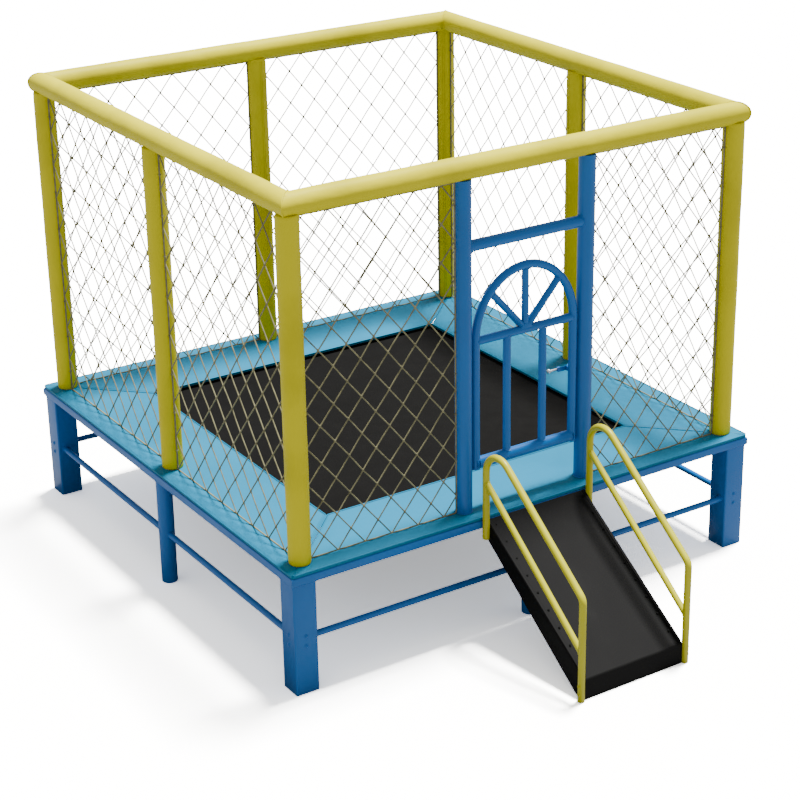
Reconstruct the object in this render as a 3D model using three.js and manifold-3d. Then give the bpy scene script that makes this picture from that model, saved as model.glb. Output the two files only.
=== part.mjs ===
// A square fenced trampoline on legs, with a gate, an access ramp and two handrails.
// Millimetres, +Z up. The front, with the gate and the ramp, faces -Y. The origin is on the ground,
// below the middle of the whole object.
import * as THREE from 'three';
import { mergeVertices } from 'three/addons/utils/BufferGeometryUtils.js';
import Module from 'manifold-3d';

const wasm = await Module();
wasm.setup();

// Driving dimensions.
const DECK = 3000; // the platform is a square of this side
const DECK_HEIGHT = 692; // top of the foam pads
const FENCE_HEIGHT = 1876; // centreline of the padded top ring, above the deck
const MAT_OPENING = 2000; // side of the open jumping area between the pads
const DOOR_SPACING = 780; // between the centrelines of the two door posts
const RAMP_REACH = 850; // from the deck's front edge to the ramp's toe
const RAMP_WIDTH = 640;

// Sections and thicknesses.
const GAP = 0.3; // left between pieces that touch
const PAST = 1; // how far a cut runs on past a face
const MERGE_WITHIN = 1e-3; // corners nearer than this are one
const ROUND = 16; // sides of a large round section
const SLIM = 12; // sides of a slim one
const SPRING_SIDES = 4;
const MAT_CORNER_STEPS = 6;
const HOOK_STEPS = 9;
const PAD_THICK = 22;
const BEAM_HIGH = 45;
const BEAM_WIDE = 170;
const STEEL_WALL = 3;
const LEG_FOOT = 6; // the closed end of a leg
const LEG_SIDE = 135;
const LEG_INSET = 7;
const MID_LEG_R = 45;
const RAIL_R = 17;
const RAIL_HEIGHT = 300;
const RAIL_INSET = 50;
const CORE_R = 30;
const SLEEVE_R = 61;
const RING_R = 62.5;
const POST_INSET = 112; // the posts and the ring above them, from the deck's edge
const MAT_THICK = 5;
const MAT_UNDERLAP = 80; // how far the mat runs on below the pads
const MAT_DROP = 12; // the mat's top below the beams' top
const MAT_CORNER_R = 90;
const SPRING_R = 11;
const SPRINGS_PER_SIDE = 18;
const HOOK_STRIP_THICK = 5;
const HOOK_STRIP_HIGH = 26;
const NET_THICK = 5;
const NET_CLEAR = 3;
const DOOR_POST_R = 45;
const CROSSBAR_DROP = 413; // below the ring's centreline
const CROSSBAR_R = 31;

// The gate.
const GATE_GAP = 5; // between a stile and its door post
const GATE_TUBE_R = 22.5;
const GATE_WALL = 2;
const GATE_RISE = 258; // centreline of the bottom rail, above the deck
const GATE_BOTTOM_R = 31;
const GATE_HIGH = 685; // from the bottom rail to where the arch starts
const ARCH_RISE = 353;
const ARCH_STEPS = 12;
const PICKET_R = 21;
const PICKET_OFFSET = 115;
const SPOKE_R = 19;
const HUB_R = 40;

// Hinges and latch.
const HINGE_ASIDE = 16.5; // the pins' axis beyond the stile's axis
const HINGE_BEHIND = 13.5; // and behind the stile's back
const HINGE_RISES = [170, 590]; // above the bottom rail
const PIN_R = 8;
const PIN_ABOVE = 8; // its top above the knuckle
const KNUCKLE_R = 14;
const KNUCKLE_HIGH = 60;
const WEB_INSET = 3; // the knuckle's web, from the pins' axis
const BRACKET_THICK = 10;
const LATCH_RISE = 380; // above the bottom rail
const LATCH_BEHIND = 29.5; // the bolt's axis behind the stile's back
const BOLT_R = 6;
const BOLT_CLEAR = 0.5;
const BOLT_TRAVEL = 36;
const LATCH_HALF = 12; // half the housing's height and depth
const HOUSING_REACH = 67.5; // the housing's inner end, from the stile's axis
const HOUSING_SHORT = 2; // its outer end short of the stile's side
const KNOB_R = 13.2;
const KNOB_LONG = 12;
const KNOB_CLEAR = 24; // the knob's far end from the housing, with the bolt home
const BLOCK_INSET = 15; // the bolt's block, from the post's side
const BLOCK_START = 0.85; // of the post's radius: where the block leaves the post

// Ramp and handrails.
const RAMP_DROP = 24; // from the deck's top to the ramp's surface where it meets the deck
const RAMP_TOE = 125; // height of the ramp's front face
const RAMP_DEPTH = 105; // depth of the ramp's sides
const RAMP_FOOT = 60; // length of its flat foot
const RAMP_GAP = 3; // between the ramp's head and the deck's edge
const RAMP_BOARD = 20;
const COVER_THICK = 6;
const TAB_WIDE = 60;
const TAB_OFFSET = 220;
const TAB_SHORT = 1 / 3; // of the beam's width, left behind the tabs
const HANDRAIL_R = 19;
const HANDRAIL_WALL = 2.5;
const HANDRAIL_CLEAR = 1;
const HANDRAIL_ABOVE = 455; // the top rail above the ramp, straight up, at its lower end
const HOOK_LEG = 21; // the upper leg in front of the deck's edge
const HOOK_R = 118;
const HOOK_RISE = 381; // the hook's top above the deck
const MID_RAIL_RISE = 208; // the lower slanting rail's upper end above the deck
const MID_RAIL_LOW = 275;
const MID_RAIL_R = 17;

// Derived places, with the platform's centre at X = Y = 0.
const HALF = DECK / 2;
const POST_LINE = HALF - POST_INSET;
const RING_HEIGHT = DECK_HEIGHT + FENCE_HEIGHT;
const CROSSBAR_HEIGHT = RING_HEIGHT - CROSSBAR_DROP;
const BEAM_TOP = DECK_HEIGHT - PAD_THICK;
const BEAM_BOTTOM = BEAM_TOP - BEAM_HIGH;
const BEAM_INNER = HALF - BEAM_WIDE;
const MAT_HALF = MAT_OPENING / 2 + MAT_UNDERLAP;
const MAT_TOP = BEAM_TOP - MAT_DROP;
const DOOR_X = DOOR_SPACING / 2;
const STILE_X = DOOR_X - DOOR_POST_R - GATE_GAP - GATE_TUBE_R;
const GATE_BOTTOM = DECK_HEIGHT + GATE_RISE;
const ARCH_SPRING = GATE_BOTTOM + GATE_HIGH;
const ARCH_TOP = ARCH_SPRING + ARCH_RISE;
const HINGE_X = -STILE_X - HINGE_ASIDE;
const HINGE_Y = -POST_LINE + GATE_TUBE_R + HINGE_BEHIND;
const HINGE_HEIGHTS = HINGE_RISES.map((rise) => GATE_BOTTOM + rise);
const LATCH_HEIGHT = GATE_BOTTOM + LATCH_RISE;
const LATCH_OFFSET = GATE_TUBE_R + LATCH_BEHIND;
const RAMP_TOP = DECK_HEIGHT - RAMP_DROP;
const HOOK_TOP = DECK_HEIGHT + HOOK_RISE;
const MID_RAIL_TOP = DECK_HEIGHT + MID_RAIL_RISE;
const HANDRAIL_X = RAMP_WIDTH / 2 + HANDRAIL_CLEAR + HANDRAIL_R;
const RAMP_FRONT = -HALF - RAMP_REACH;
const RAMP_BACK = -HALF - RAMP_GAP;
const FRONT_REACH = HALF + RAMP_REACH + HANDRAIL_R;
const SHIFT_Y = (FRONT_REACH - HALF) / 2;

const COLOURS = {
  blue: { color: 0x215fa0, roughness: 0.4, metalness: 0.1 },
  yellow: { color: 0xe8e24a, roughness: 0.55, metalness: 0 },
  handrail: { color: 0xe1e16e, roughness: 0.35, metalness: 0.1 },
  steel: { color: 0x9a9da0, roughness: 0.4, metalness: 0.9 },
  cyan: { color: 0x4bb4e1, roughness: 0.6, metalness: 0 },
  black: { color: 0x212121, roughness: 0.85, metalness: 0 },
  net: { color: 0x7c7650, roughness: 0.9, metalness: 0 },
};

// Solids -------------------------------------------------------------------------------------------

function toSolid(geometry) {
  geometry.deleteAttribute('normal');
  geometry.deleteAttribute('uv');
  const merged = mergeVertices(geometry, MERGE_WITHIN);
  const vertProperties = new Float32Array(merged.attributes.position.array);
  const triVerts = new Uint32Array(merged.index.array);
  return new wasm.Manifold(new wasm.Mesh({ numProp: 3, vertProperties, triVerts }));
}

function toMesh(name, solid, colour) {
  const cut = solid.getMesh();
  const geometry = new THREE.BufferGeometry();
  geometry.setAttribute('position', new THREE.BufferAttribute(new Float32Array(cut.vertProperties), 3));
  geometry.setIndex(new THREE.BufferAttribute(new Uint32Array(cut.triVerts), 1));
  geometry.computeVertexNormals();
  const mesh = new THREE.Mesh(geometry, new THREE.MeshStandardMaterial(COLOURS[colour]));
  mesh.name = name;
  return mesh;
}

function union(...solids) {
  return solids.reduce((whole, next) => whole.add(next));
}

function box(low, high) {
  const size = high.map((value, i) => value - low[i]);
  const geometry = new THREE.BoxGeometry(...size);
  geometry.translate(...high.map((value, i) => (value + low[i]) / 2));
  return toSolid(geometry);
}

// A round bar from one point to another.
function rod(from, to, radius, sides = SLIM) {
  const start = new THREE.Vector3(...from);
  const along = new THREE.Vector3(...to).sub(start);
  const geometry = new THREE.CylinderGeometry(radius, radius, along.length(), sides);
  const turn = new THREE.Quaternion().setFromUnitVectors(
    new THREE.Vector3(0, 1, 0), along.clone().normalize());
  geometry.applyQuaternion(turn);
  geometry.translate(...start.addScaledVector(along, 0.5).toArray());
  return toSolid(geometry);
}

// A round tube, open at both ends.
function pipe(from, to, radius, wall, sides = SLIM) {
  const start = new THREE.Vector3(...from);
  const end = new THREE.Vector3(...to);
  const past = end.clone().sub(start).setLength(PAST);
  const boreFrom = start.clone().sub(past).toArray();
  const boreTo = end.clone().add(past).toArray();
  return rod(from, to, radius, sides).subtract(rod(boreFrom, boreTo, radius - wall, sides));
}

// An outline in X and Y, raised from one height to another.
function raised(outline, low, high) {
  const shape = new THREE.Shape(outline.map(([x, y]) => new THREE.Vector2(x, y)));
  const geometry = new THREE.ExtrudeGeometry(shape, { depth: high - low, bevelEnabled: false });
  geometry.translate(0, 0, low);
  return toSolid(geometry);
}

// An outline in Y and Z, carried across from one X to another.
function across(outline, low, high) {
  const shape = new THREE.Shape(outline.map(([y, z]) => new THREE.Vector2(y, z)));
  const geometry = new THREE.ExtrudeGeometry(shape, { depth: high - low, bevelEnabled: false });
  geometry.applyMatrix4(new THREE.Matrix4().makeBasis(
    new THREE.Vector3(0, 1, 0), new THREE.Vector3(0, 0, 1), new THREE.Vector3(1, 0, 0)));
  geometry.translate(low, 0, 0);
  return toSolid(geometry);
}

// A route whose points are kept as they are, with each bend's section on its bisector.
class Route extends THREE.Curve {
  constructor(points) {
    super();
    this.points = points.map((point) => new THREE.Vector3(...point));
  }

  getPoint(t, target = new THREE.Vector3()) {
    const place = t * (this.points.length - 1);
    const i = Math.min(Math.floor(place), this.points.length - 2);
    return target.lerpVectors(this.points[i], this.points[i + 1], place - i);
  }

  getPointAt(u, target) {
    return this.getPoint(u, target);
  }

  getSpacedPoints(divisions) {
    return this.getPoints(divisions);
  }

  getTangentAt(u, target = new THREE.Vector3()) {
    const i = Math.round(u * (this.points.length - 1));
    const before = this.points[Math.max(i - 1, 0)].clone().sub(this.points[Math.max(i, 1)]);
    const last = this.points.length - 1;
    const after = this.points[Math.min(i + 1, last)].clone().sub(this.points[Math.min(i, last - 1)]);
    return target.copy(after.normalize().sub(before.normalize())).normalize();
  }
}

function bent(points, radius) {
  const corners = Array.from({ length: SLIM }, (_, i) => {
    const angle = 2 * Math.PI * i / SLIM;
    return new THREE.Vector2(radius * Math.cos(angle), radius * Math.sin(angle));
  });
  const section = new THREE.Shape(corners);
  const settings = { steps: points.length - 1, extrudePath: new Route(points) };
  return toSolid(new THREE.ExtrudeGeometry(section, settings));
}

// The same route with both of its feet a little lower, for a tube's bore.
function runOn(route) {
  return route.map(([x, y, z], i) => [x, y, i === 0 || i === route.length - 1 ? z - PAST : z]);
}

// Points of a circle's arc in the plane of constant X, from one angle to another, in degrees from +Y.
function arc(x, [y, z], radius, from, to, steps) {
  return Array.from({ length: steps + 1 }, (_, i) => {
    const angle = THREE.MathUtils.degToRad(from + (to - from) * i / steps);
    return [x, y + radius * Math.cos(angle), z + radius * Math.sin(angle)];
  });
}

// The four sides ------------------------------------------------------------------------------------
// Each piece of a side is made at the front and turned with its group.

// What is left of a front piece between the two corner mitres, which meet at the platform's centre.
function mitred(piece) {
  const wedge = [[GAP - DECK, -DECK], [DECK - GAP, -DECK], [0, -GAP]];
  return piece.intersect(raised(wedge, 0, 2 * RING_HEIGHT));
}

function beam() {
  const outer = box([-HALF, -HALF, BEAM_BOTTOM], [HALF, -BEAM_INNER, BEAM_TOP]);
  const inner = box([-HALF - PAST, -HALF + STEEL_WALL, BEAM_BOTTOM + STEEL_WALL],
    [HALF + PAST, -BEAM_INNER - STEEL_WALL, BEAM_TOP - STEEL_WALL]);
  return mitred(outer.subtract(inner));
}

function cornerLeg() {
  const outside = -HALF + LEG_INSET;
  const inside = outside + LEG_SIDE;
  const top = BEAM_BOTTOM - GAP;
  const hollow = box([outside + STEEL_WALL, outside + STEEL_WALL, LEG_FOOT],
    [inside - STEEL_WALL, inside - STEEL_WALL, top + PAST]);
  return box([outside, outside, 0], [inside, inside, top]).subtract(hollow);
}

const RAIL_Y = -HALF + RAIL_INSET;
const RAIL_END = HALF - LEG_INSET - LEG_SIDE - GAP;

function lowerRail() {
  return pipe([-RAIL_END, RAIL_Y, RAIL_HEIGHT], [RAIL_END, RAIL_Y, RAIL_HEIGHT], RAIL_R, STEEL_WALL);
}

function midLeg() {
  const top = BEAM_BOTTOM - GAP;
  const leg = rod([0, RAIL_Y, 0], [0, RAIL_Y, top], MID_LEG_R, ROUND);
  const bore = rod([0, RAIL_Y, LEG_FOOT], [0, RAIL_Y, top + PAST], MID_LEG_R - STEEL_WALL, ROUND);
  const holes = rod([-LEG_SIDE, RAIL_Y, RAIL_HEIGHT], [LEG_SIDE, RAIL_Y, RAIL_HEIGHT], RAIL_R + GAP);
  return leg.subtract(bore).subtract(holes);
}

function pad(isFront) {
  const slab = box([-HALF, -HALF, BEAM_TOP + GAP], [HALF, -MAT_OPENING / 2, DECK_HEIGHT]);
  const hole = (x, radius, sides) => rod(
    [x, -POST_LINE, BEAM_BOTTOM], [x, -POST_LINE, DECK_HEIGHT + PAST], radius + GAP, sides);
  const corners = union(hole(-POST_LINE, CORE_R), hole(POST_LINE, CORE_R));
  const middle = isFront
    ? union(hole(-DOOR_X, DOOR_POST_R, ROUND), hole(DOOR_X, DOOR_POST_R, ROUND))
    : hole(0, CORE_R);
  return mitred(slab).subtract(corners).subtract(middle);
}

function springRow() {
  const middle = MAT_TOP - MAT_THICK / 2;
  const rowEnd = MAT_HALF - MAT_CORNER_R;
  const wall = -BEAM_INNER + GAP;
  const strip = box([-rowEnd, wall, middle - HOOK_STRIP_HIGH / 2],
    [rowEnd, wall + HOOK_STRIP_THICK, middle + HOOK_STRIP_HIGH / 2]);
  const pitch = (2 * rowEnd - 4 * SPRING_R) / (SPRINGS_PER_SIDE - 1);
  const springs = Array.from({ length: SPRINGS_PER_SIDE }, (_, i) => {
    const x = (i - (SPRINGS_PER_SIDE - 1) / 2) * pitch;
    return rod([x, wall + HOOK_STRIP_THICK / 2, middle], [x, -MAT_HALF - GAP, middle],
      SPRING_R, SPRING_SIDES);
  });
  return union(strip, ...springs);
}

function ringSleeve(isFront) {
  const z = RING_HEIGHT;
  const foam = rod([-HALF, -POST_LINE, z], [HALF, -POST_LINE, z], RING_R, ROUND);
  const bore = rod([-HALF - PAST, -POST_LINE, z], [HALF + PAST, -POST_LINE, z], CORE_R + GAP);
  const posts = [-POST_LINE, POST_LINE, ...(isFront ? [] : [0])].map(
    (x) => rod([x, -POST_LINE, BEAM_TOP], [x, -POST_LINE, z], CORE_R + GAP));
  return mitred(foam.subtract(bore)).subtract(union(...posts));
}

// The top of a post, cut to lie against the padded ring.
function underRing(piece) {
  const z = RING_HEIGHT;
  const front = rod([-HALF, -POST_LINE, z], [HALF, -POST_LINE, z], RING_R + GAP, ROUND);
  const left = rod([-POST_LINE, -HALF, z], [-POST_LINE, HALF, z], RING_R + GAP, ROUND);
  return piece.subtract(union(front, left));
}

function postSleeve(x) {
  const from = [x, -POST_LINE, DECK_HEIGHT + GAP];
  const to = [x, -POST_LINE, RING_HEIGHT];
  return underRing(rod(from, to, SLEEVE_R, ROUND).subtract(rod(
    [x, -POST_LINE, BEAM_TOP], [x, -POST_LINE, RING_HEIGHT + PAST], CORE_R + GAP)));
}

function net(fromX, toX) {
  const top = RING_HEIGHT - RING_R - NET_CLEAR;
  return box([fromX, -POST_LINE - NET_THICK / 2, DECK_HEIGHT + NET_CLEAR],
    [toX, -POST_LINE + NET_THICK / 2, top]);
}

// [side, its turn in degrees, the corner at its left end, the net at its left, the net at its right]
const SIDES = [
  ['front', 0, 'front_left', 'left', 'right'],
  ['right', 90, 'front_right', 'front', 'back'],
  ['back', 180, 'back_right', 'right', 'left'],
  ['left', 270, 'back_left', 'back', 'front'],
];

function side([name, turn, corner, netLeft, netRight]) {
  const group = new THREE.Group();
  const isFront = name === 'front';
  const postFace = -POST_LINE + SLEEVE_R + NET_CLEAR;
  const middleFace = isFront ? DOOR_X + DOOR_POST_R + NET_CLEAR : SLEEVE_R + NET_CLEAR;
  group.rotation.z = THREE.MathUtils.degToRad(turn);
  group.add(
    toMesh(`corner_leg_${corner}`, cornerLeg(), 'blue'),
    toMesh(`mid_leg_${name}`, midLeg(), 'blue'),
    toMesh(`lower_rail_${name}`, lowerRail(), 'blue'),
    toMesh(`deck_beam_${name}`, beam(), 'blue'),
    toMesh(`pad_${name}`, pad(isFront), 'cyan'),
    toMesh(`spring_row_${name}`, springRow(), 'steel'),
    toMesh(`ring_sleeve_${name}`, ringSleeve(isFront), 'yellow'),
    toMesh(`post_sleeve_${corner}`, postSleeve(-POST_LINE), 'yellow'),
    toMesh(`net_${name}_${netLeft}`, net(postFace, -middleFace), 'net'),
    toMesh(`net_${name}_${netRight}`, net(middleFace, -postFace), 'net'),
  );
  if (!isFront) {
    group.add(toMesh(`post_sleeve_${name}`, postSleeve(0), 'yellow'));
  }
  return group;
}

// The steel tubes inside the padding: a square ring on seven posts, open at the posts' feet.
function enclosureFrame() {
  const corners = [[-1, -1], [1, -1], [1, 1], [-1, 1]];
  const posts = [...corners, [1, 0], [0, 1], [-1, 0]];
  const tubes = (radius, foot) => {
    const ring = corners.map(([x, y], i) => {
      const [nextX, nextY] = corners[(i + 1) % 4];
      const from = [x * POST_LINE, y * POST_LINE, RING_HEIGHT];
      const to = [nextX * POST_LINE, nextY * POST_LINE, RING_HEIGHT];
      return rod(from, to, radius);
    });
    const uprights = posts.map(([x, y]) => rod(
      [x * POST_LINE, y * POST_LINE, foot], [x * POST_LINE, y * POST_LINE, RING_HEIGHT], radius));
    return union(...ring, ...uprights);
  };
  return tubes(CORE_R, BEAM_TOP + GAP).subtract(tubes(CORE_R - STEEL_WALL, BEAM_TOP));
}

function jumpMat() {
  const straight = MAT_HALF - MAT_CORNER_R;
  const shape = new THREE.Shape();
  shape.absarc(straight, -straight, MAT_CORNER_R, -Math.PI / 2, 0);
  shape.absarc(straight, straight, MAT_CORNER_R, 0, Math.PI / 2);
  shape.absarc(-straight, straight, MAT_CORNER_R, Math.PI / 2, Math.PI);
  shape.absarc(-straight, -straight, MAT_CORNER_R, Math.PI, 1.5 * Math.PI);
  const settings = { depth: MAT_THICK, bevelEnabled: false, curveSegments: MAT_CORNER_STEPS };
  const geometry = new THREE.ExtrudeGeometry(shape, settings);
  geometry.translate(0, 0, MAT_TOP - MAT_THICK);
  return toSolid(geometry);
}

// The doorway and its gate ---------------------------------------------------------------------------

function doorPost(x) {
  const from = [x, -POST_LINE, BEAM_TOP + GAP];
  return underRing(pipe(from, [x, -POST_LINE, RING_HEIGHT], DOOR_POST_R, STEEL_WALL, ROUND));
}

// The left door post, with a bracket and an upright pin for each hinge.
function hingePost() {
  const post = doorPost(-DOOR_X);
  const inside = rod([-DOOR_X, -POST_LINE, DECK_HEIGHT], [-DOOR_X, -POST_LINE, CROSSBAR_HEIGHT],
    DOOR_POST_R - STEEL_WALL, ROUND);
  const hinges = HINGE_HEIGHTS.map((z) => {
    const low = z - KNUCKLE_HIGH / 2 - GAP - BRACKET_THICK;
    const round = rod([HINGE_X, HINGE_Y, low], [HINGE_X, HINGE_Y, low + BRACKET_THICK], KNUCKLE_R);
    const arm = box([-DOOR_X, HINGE_Y - KNUCKLE_R, low], [HINGE_X, HINGE_Y + KNUCKLE_R, low + BRACKET_THICK]);
    const pin = rod([HINGE_X, HINGE_Y, low], [HINGE_X, HINGE_Y, z + KNUCKLE_HIGH / 2 + PIN_ABOVE], PIN_R);
    return union(round, arm.subtract(inside), pin);
  });
  return union(post, ...hinges);
}

// The right door post, with the block that the bolt runs into.
function latchPost() {
  const y = -POST_LINE + LATCH_OFFSET;
  const near = DOOR_X - DOOR_POST_R + BLOCK_INSET;
  const block = box([near, -POST_LINE + DOOR_POST_R * BLOCK_START, LATCH_HEIGHT - LATCH_HALF],
    [DOOR_X - GATE_GAP, y + LATCH_HALF, LATCH_HEIGHT + LATCH_HALF]);
  const hole = rod([0, y, LATCH_HEIGHT], [DOOR_SPACING, y, LATCH_HEIGHT], BOLT_R + 2 * BOLT_CLEAR);
  return union(doorPost(DOOR_X), block.subtract(hole));
}

function crossbar() {
  const bar = pipe([-DOOR_X, -POST_LINE, CROSSBAR_HEIGHT], [DOOR_X, -POST_LINE, CROSSBAR_HEIGHT],
    CROSSBAR_R, STEEL_WALL);
  const posts = [-DOOR_X, DOOR_X].map((x) => rod(
    [x, -POST_LINE, BEAM_TOP + GAP], [x, -POST_LINE, RING_HEIGHT], DOOR_POST_R + GAP, ROUND));
  return bar.subtract(union(...posts));
}

function archRoute() {
  const rise = ARCH_TOP - ARCH_SPRING;
  const foot = GATE_BOTTOM - GATE_BOTTOM_R;
  const curve = Array.from({ length: ARCH_STEPS + 1 }, (_, i) => {
    const angle = Math.PI * (1 - i / ARCH_STEPS);
    return [STILE_X * Math.cos(angle), -POST_LINE, ARCH_SPRING + rise * Math.sin(angle)];
  });
  return [[-STILE_X, -POST_LINE, foot], ...curve, [STILE_X, -POST_LINE, foot]];
}

function archRod(extra) {
  return bent(archRoute(), GATE_TUBE_R + extra);
}

// The gate's stiles and arch in one bent tube, with the hinge knuckles.
function gateArch() {
  const route = archRoute();
  const bore = bent(runOn(route), GATE_TUBE_R - GATE_WALL);
  const knuckles = HINGE_HEIGHTS.map((z) => {
    const low = z - KNUCKLE_HIGH / 2;
    const high = z + KNUCKLE_HIGH / 2;
    const web = raised([[HINGE_X + WEB_INSET, HINGE_Y], [-STILE_X, -POST_LINE],
      [-STILE_X + KNUCKLE_R, -POST_LINE], [HINGE_X + KNUCKLE_R, HINGE_Y]], low, high);
    return union(rod([HINGE_X, HINGE_Y, low], [HINGE_X, HINGE_Y, high], KNUCKLE_R), web);
  });
  const pins = HINGE_HEIGHTS.map((z) => rod(
    [HINGE_X, HINGE_Y, z - KNUCKLE_HIGH], [HINGE_X, HINGE_Y, z + KNUCKLE_HIGH], PIN_R + 2 * GAP));
  return union(archRod(0), ...knuckles).subtract(bore).subtract(union(...pins));
}

function gateRail(z, radius) {
  const rail = pipe([-STILE_X, -POST_LINE, z], [STILE_X, -POST_LINE, z], radius, GATE_WALL);
  return rail.subtract(archRod(GAP));
}

function gatePicket(x) {
  const picket = pipe([x, -POST_LINE, GATE_BOTTOM], [x, -POST_LINE, ARCH_SPRING], PICKET_R, GATE_WALL);
  const rails = [[GATE_BOTTOM, GATE_BOTTOM_R], [ARCH_SPRING, GATE_TUBE_R]].map(([z, radius]) => rod(
    [-STILE_X, -POST_LINE, z], [STILE_X, -POST_LINE, z], radius + GAP));
  return picket.subtract(union(...rails));
}

// Three spokes from a round hub on the middle rail to the arch.
function gateFan() {
  const rise = ARCH_TOP - ARCH_SPRING;
  const spokes = [45, 90, 135].map((degrees) => {
    const angle = THREE.MathUtils.degToRad(degrees);
    const tip = [STILE_X * Math.cos(angle), -POST_LINE, ARCH_SPRING + rise * Math.sin(angle)];
    return rod([0, -POST_LINE, ARCH_SPRING], tip, SPOKE_R);
  });
  const hub = rod([0, -POST_LINE - SPOKE_R, ARCH_SPRING], [0, -POST_LINE + SPOKE_R, ARCH_SPRING], HUB_R);
  const rail = rod([-STILE_X, -POST_LINE, ARCH_SPRING], [STILE_X, -POST_LINE, ARCH_SPRING],
    GATE_TUBE_R + GAP);
  const below = box([-STILE_X, -HALF, 0], [STILE_X, 0, ARCH_SPRING]);
  return union(...spokes, hub).subtract(union(rail, archRod(GAP), below));
}

// The housing that the bolt slides in, on the inner side of the gate's right stile.
function latchHousing() {
  const y = -POST_LINE + LATCH_OFFSET;
  const low = LATCH_HEIGHT - LATCH_HALF;
  const high = LATCH_HEIGHT + LATCH_HALF;
  const body = box([STILE_X - HOUSING_REACH, y - LATCH_HALF, low],
    [STILE_X + GATE_TUBE_R - HOUSING_SHORT, y + LATCH_HALF, high]);
  const neck = box([STILE_X - GATE_TUBE_R / 2, -POST_LINE, low], [STILE_X + GATE_TUBE_R / 2, y, high]);
  const bore = rod([0, y, LATCH_HEIGHT], [DOOR_X, y, LATCH_HEIGHT], BOLT_R + BOLT_CLEAR);
  return union(body, neck).subtract(archRod(GAP)).subtract(bore);
}

// The sliding bolt, drawn back, with its knob.
function latchBolt() {
  const y = -POST_LINE + LATCH_OFFSET;
  const tip = STILE_X + GATE_TUBE_R;
  const back = STILE_X - HOUSING_REACH - BOLT_TRAVEL - KNOB_CLEAR;
  const knob = rod([back, y, LATCH_HEIGHT], [back + KNOB_LONG, y, LATCH_HEIGHT], KNOB_R);
  return union(rod([back + KNOB_LONG / 2, y, LATCH_HEIGHT], [tip, y, LATCH_HEIGHT], BOLT_R), knob);
}

// The ramp and its handrails --------------------------------------------------------------------------

const RAMP_SLOPE = (RAMP_TOP - RAMP_TOE) / (RAMP_BACK - RAMP_FRONT);

function rampFrame() {
  const top = RAMP_TOP - COVER_THICK - GAP;
  const toe = RAMP_TOE - COVER_THICK - GAP;
  const front = RAMP_FRONT + COVER_THICK + GAP;
  const outline = [[RAMP_BACK, top], [front, toe], [front, 0], [front + RAMP_FOOT, 0],
    [RAMP_BACK, top - RAMP_DEPTH]];
  const under = [[RAMP_BACK + PAST, top - RAMP_BOARD], [front + RAMP_FOOT, toe - RAMP_BOARD / 2],
    [front + RAMP_FOOT, -PAST], [RAMP_BACK + PAST, -PAST]];
  const half = RAMP_WIDTH / 2;
  const shell = across(outline, -half, half).subtract(across(under, -half + RAMP_BOARD, half - RAMP_BOARD));
  const tabs = [-TAB_OFFSET, TAB_OFFSET].map((x) => box(
    [x - TAB_WIDE / 2, RAMP_BACK - 2 * RAMP_BOARD, BEAM_BOTTOM - GAP - RAMP_BOARD],
    [x + TAB_WIDE / 2, -BEAM_INNER - BEAM_WIDE * TAB_SHORT, BEAM_BOTTOM - GAP]));
  return union(shell, ...tabs);
}

function rampCover() {
  const half = RAMP_WIDTH / 2;
  const behind = RAMP_FRONT + COVER_THICK;
  return across([[RAMP_BACK, RAMP_TOP], [RAMP_FRONT, RAMP_TOE], [RAMP_FRONT, 0], [behind, 0],
    [behind, RAMP_TOE - COVER_THICK], [RAMP_BACK, RAMP_TOP - COVER_THICK]], -half, half);
}

function handrailRoute(x) {
  const legY = -HALF - HOOK_LEG;
  const kneeZ = RAMP_TOE + HANDRAIL_ABOVE;
  const hook = [legY - HOOK_R, HOOK_TOP - HOOK_R];
  // The angle at which the falling rail leaves the hook, tangent to it.
  const reachY = hook[0] - RAMP_FRONT;
  const reachZ = hook[1] - kneeZ;
  const far = Math.hypot(reachY, reachZ);
  const leave = THREE.MathUtils.radToDeg(Math.atan2(-reachZ, -reachY) - Math.acos(HOOK_R / far)) + 360;
  return [
    [x, legY, BEAM_BOTTOM - RAMP_DEPTH / 2],
    ...arc(x, hook, HOOK_R, 0, leave, HOOK_STEPS),
    [x, RAMP_FRONT + HANDRAIL_R, kneeZ + HANDRAIL_R * RAMP_SLOPE],
    [x, RAMP_FRONT, kneeZ - HANDRAIL_R],
    [x, RAMP_FRONT, 0],
  ];
}

// A handrail: a bent tube from the ramp's head to the ground, with a straight rail between its legs.
function handrail(x) {
  const route = handrailRoute(x);
  const mid = (radius) => rod([x, -HALF - HOOK_LEG, MID_RAIL_TOP], [x, RAMP_FRONT, MID_RAIL_LOW], radius);
  const outer = union(bent(route, HANDRAIL_R), mid(MID_RAIL_R));
  const bores = union(bent(runOn(route), HANDRAIL_R - HANDRAIL_WALL), mid(MID_RAIL_R - HANDRAIL_WALL));
  return outer.subtract(bores);
}

// The whole -------------------------------------------------------------------------------------------

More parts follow.
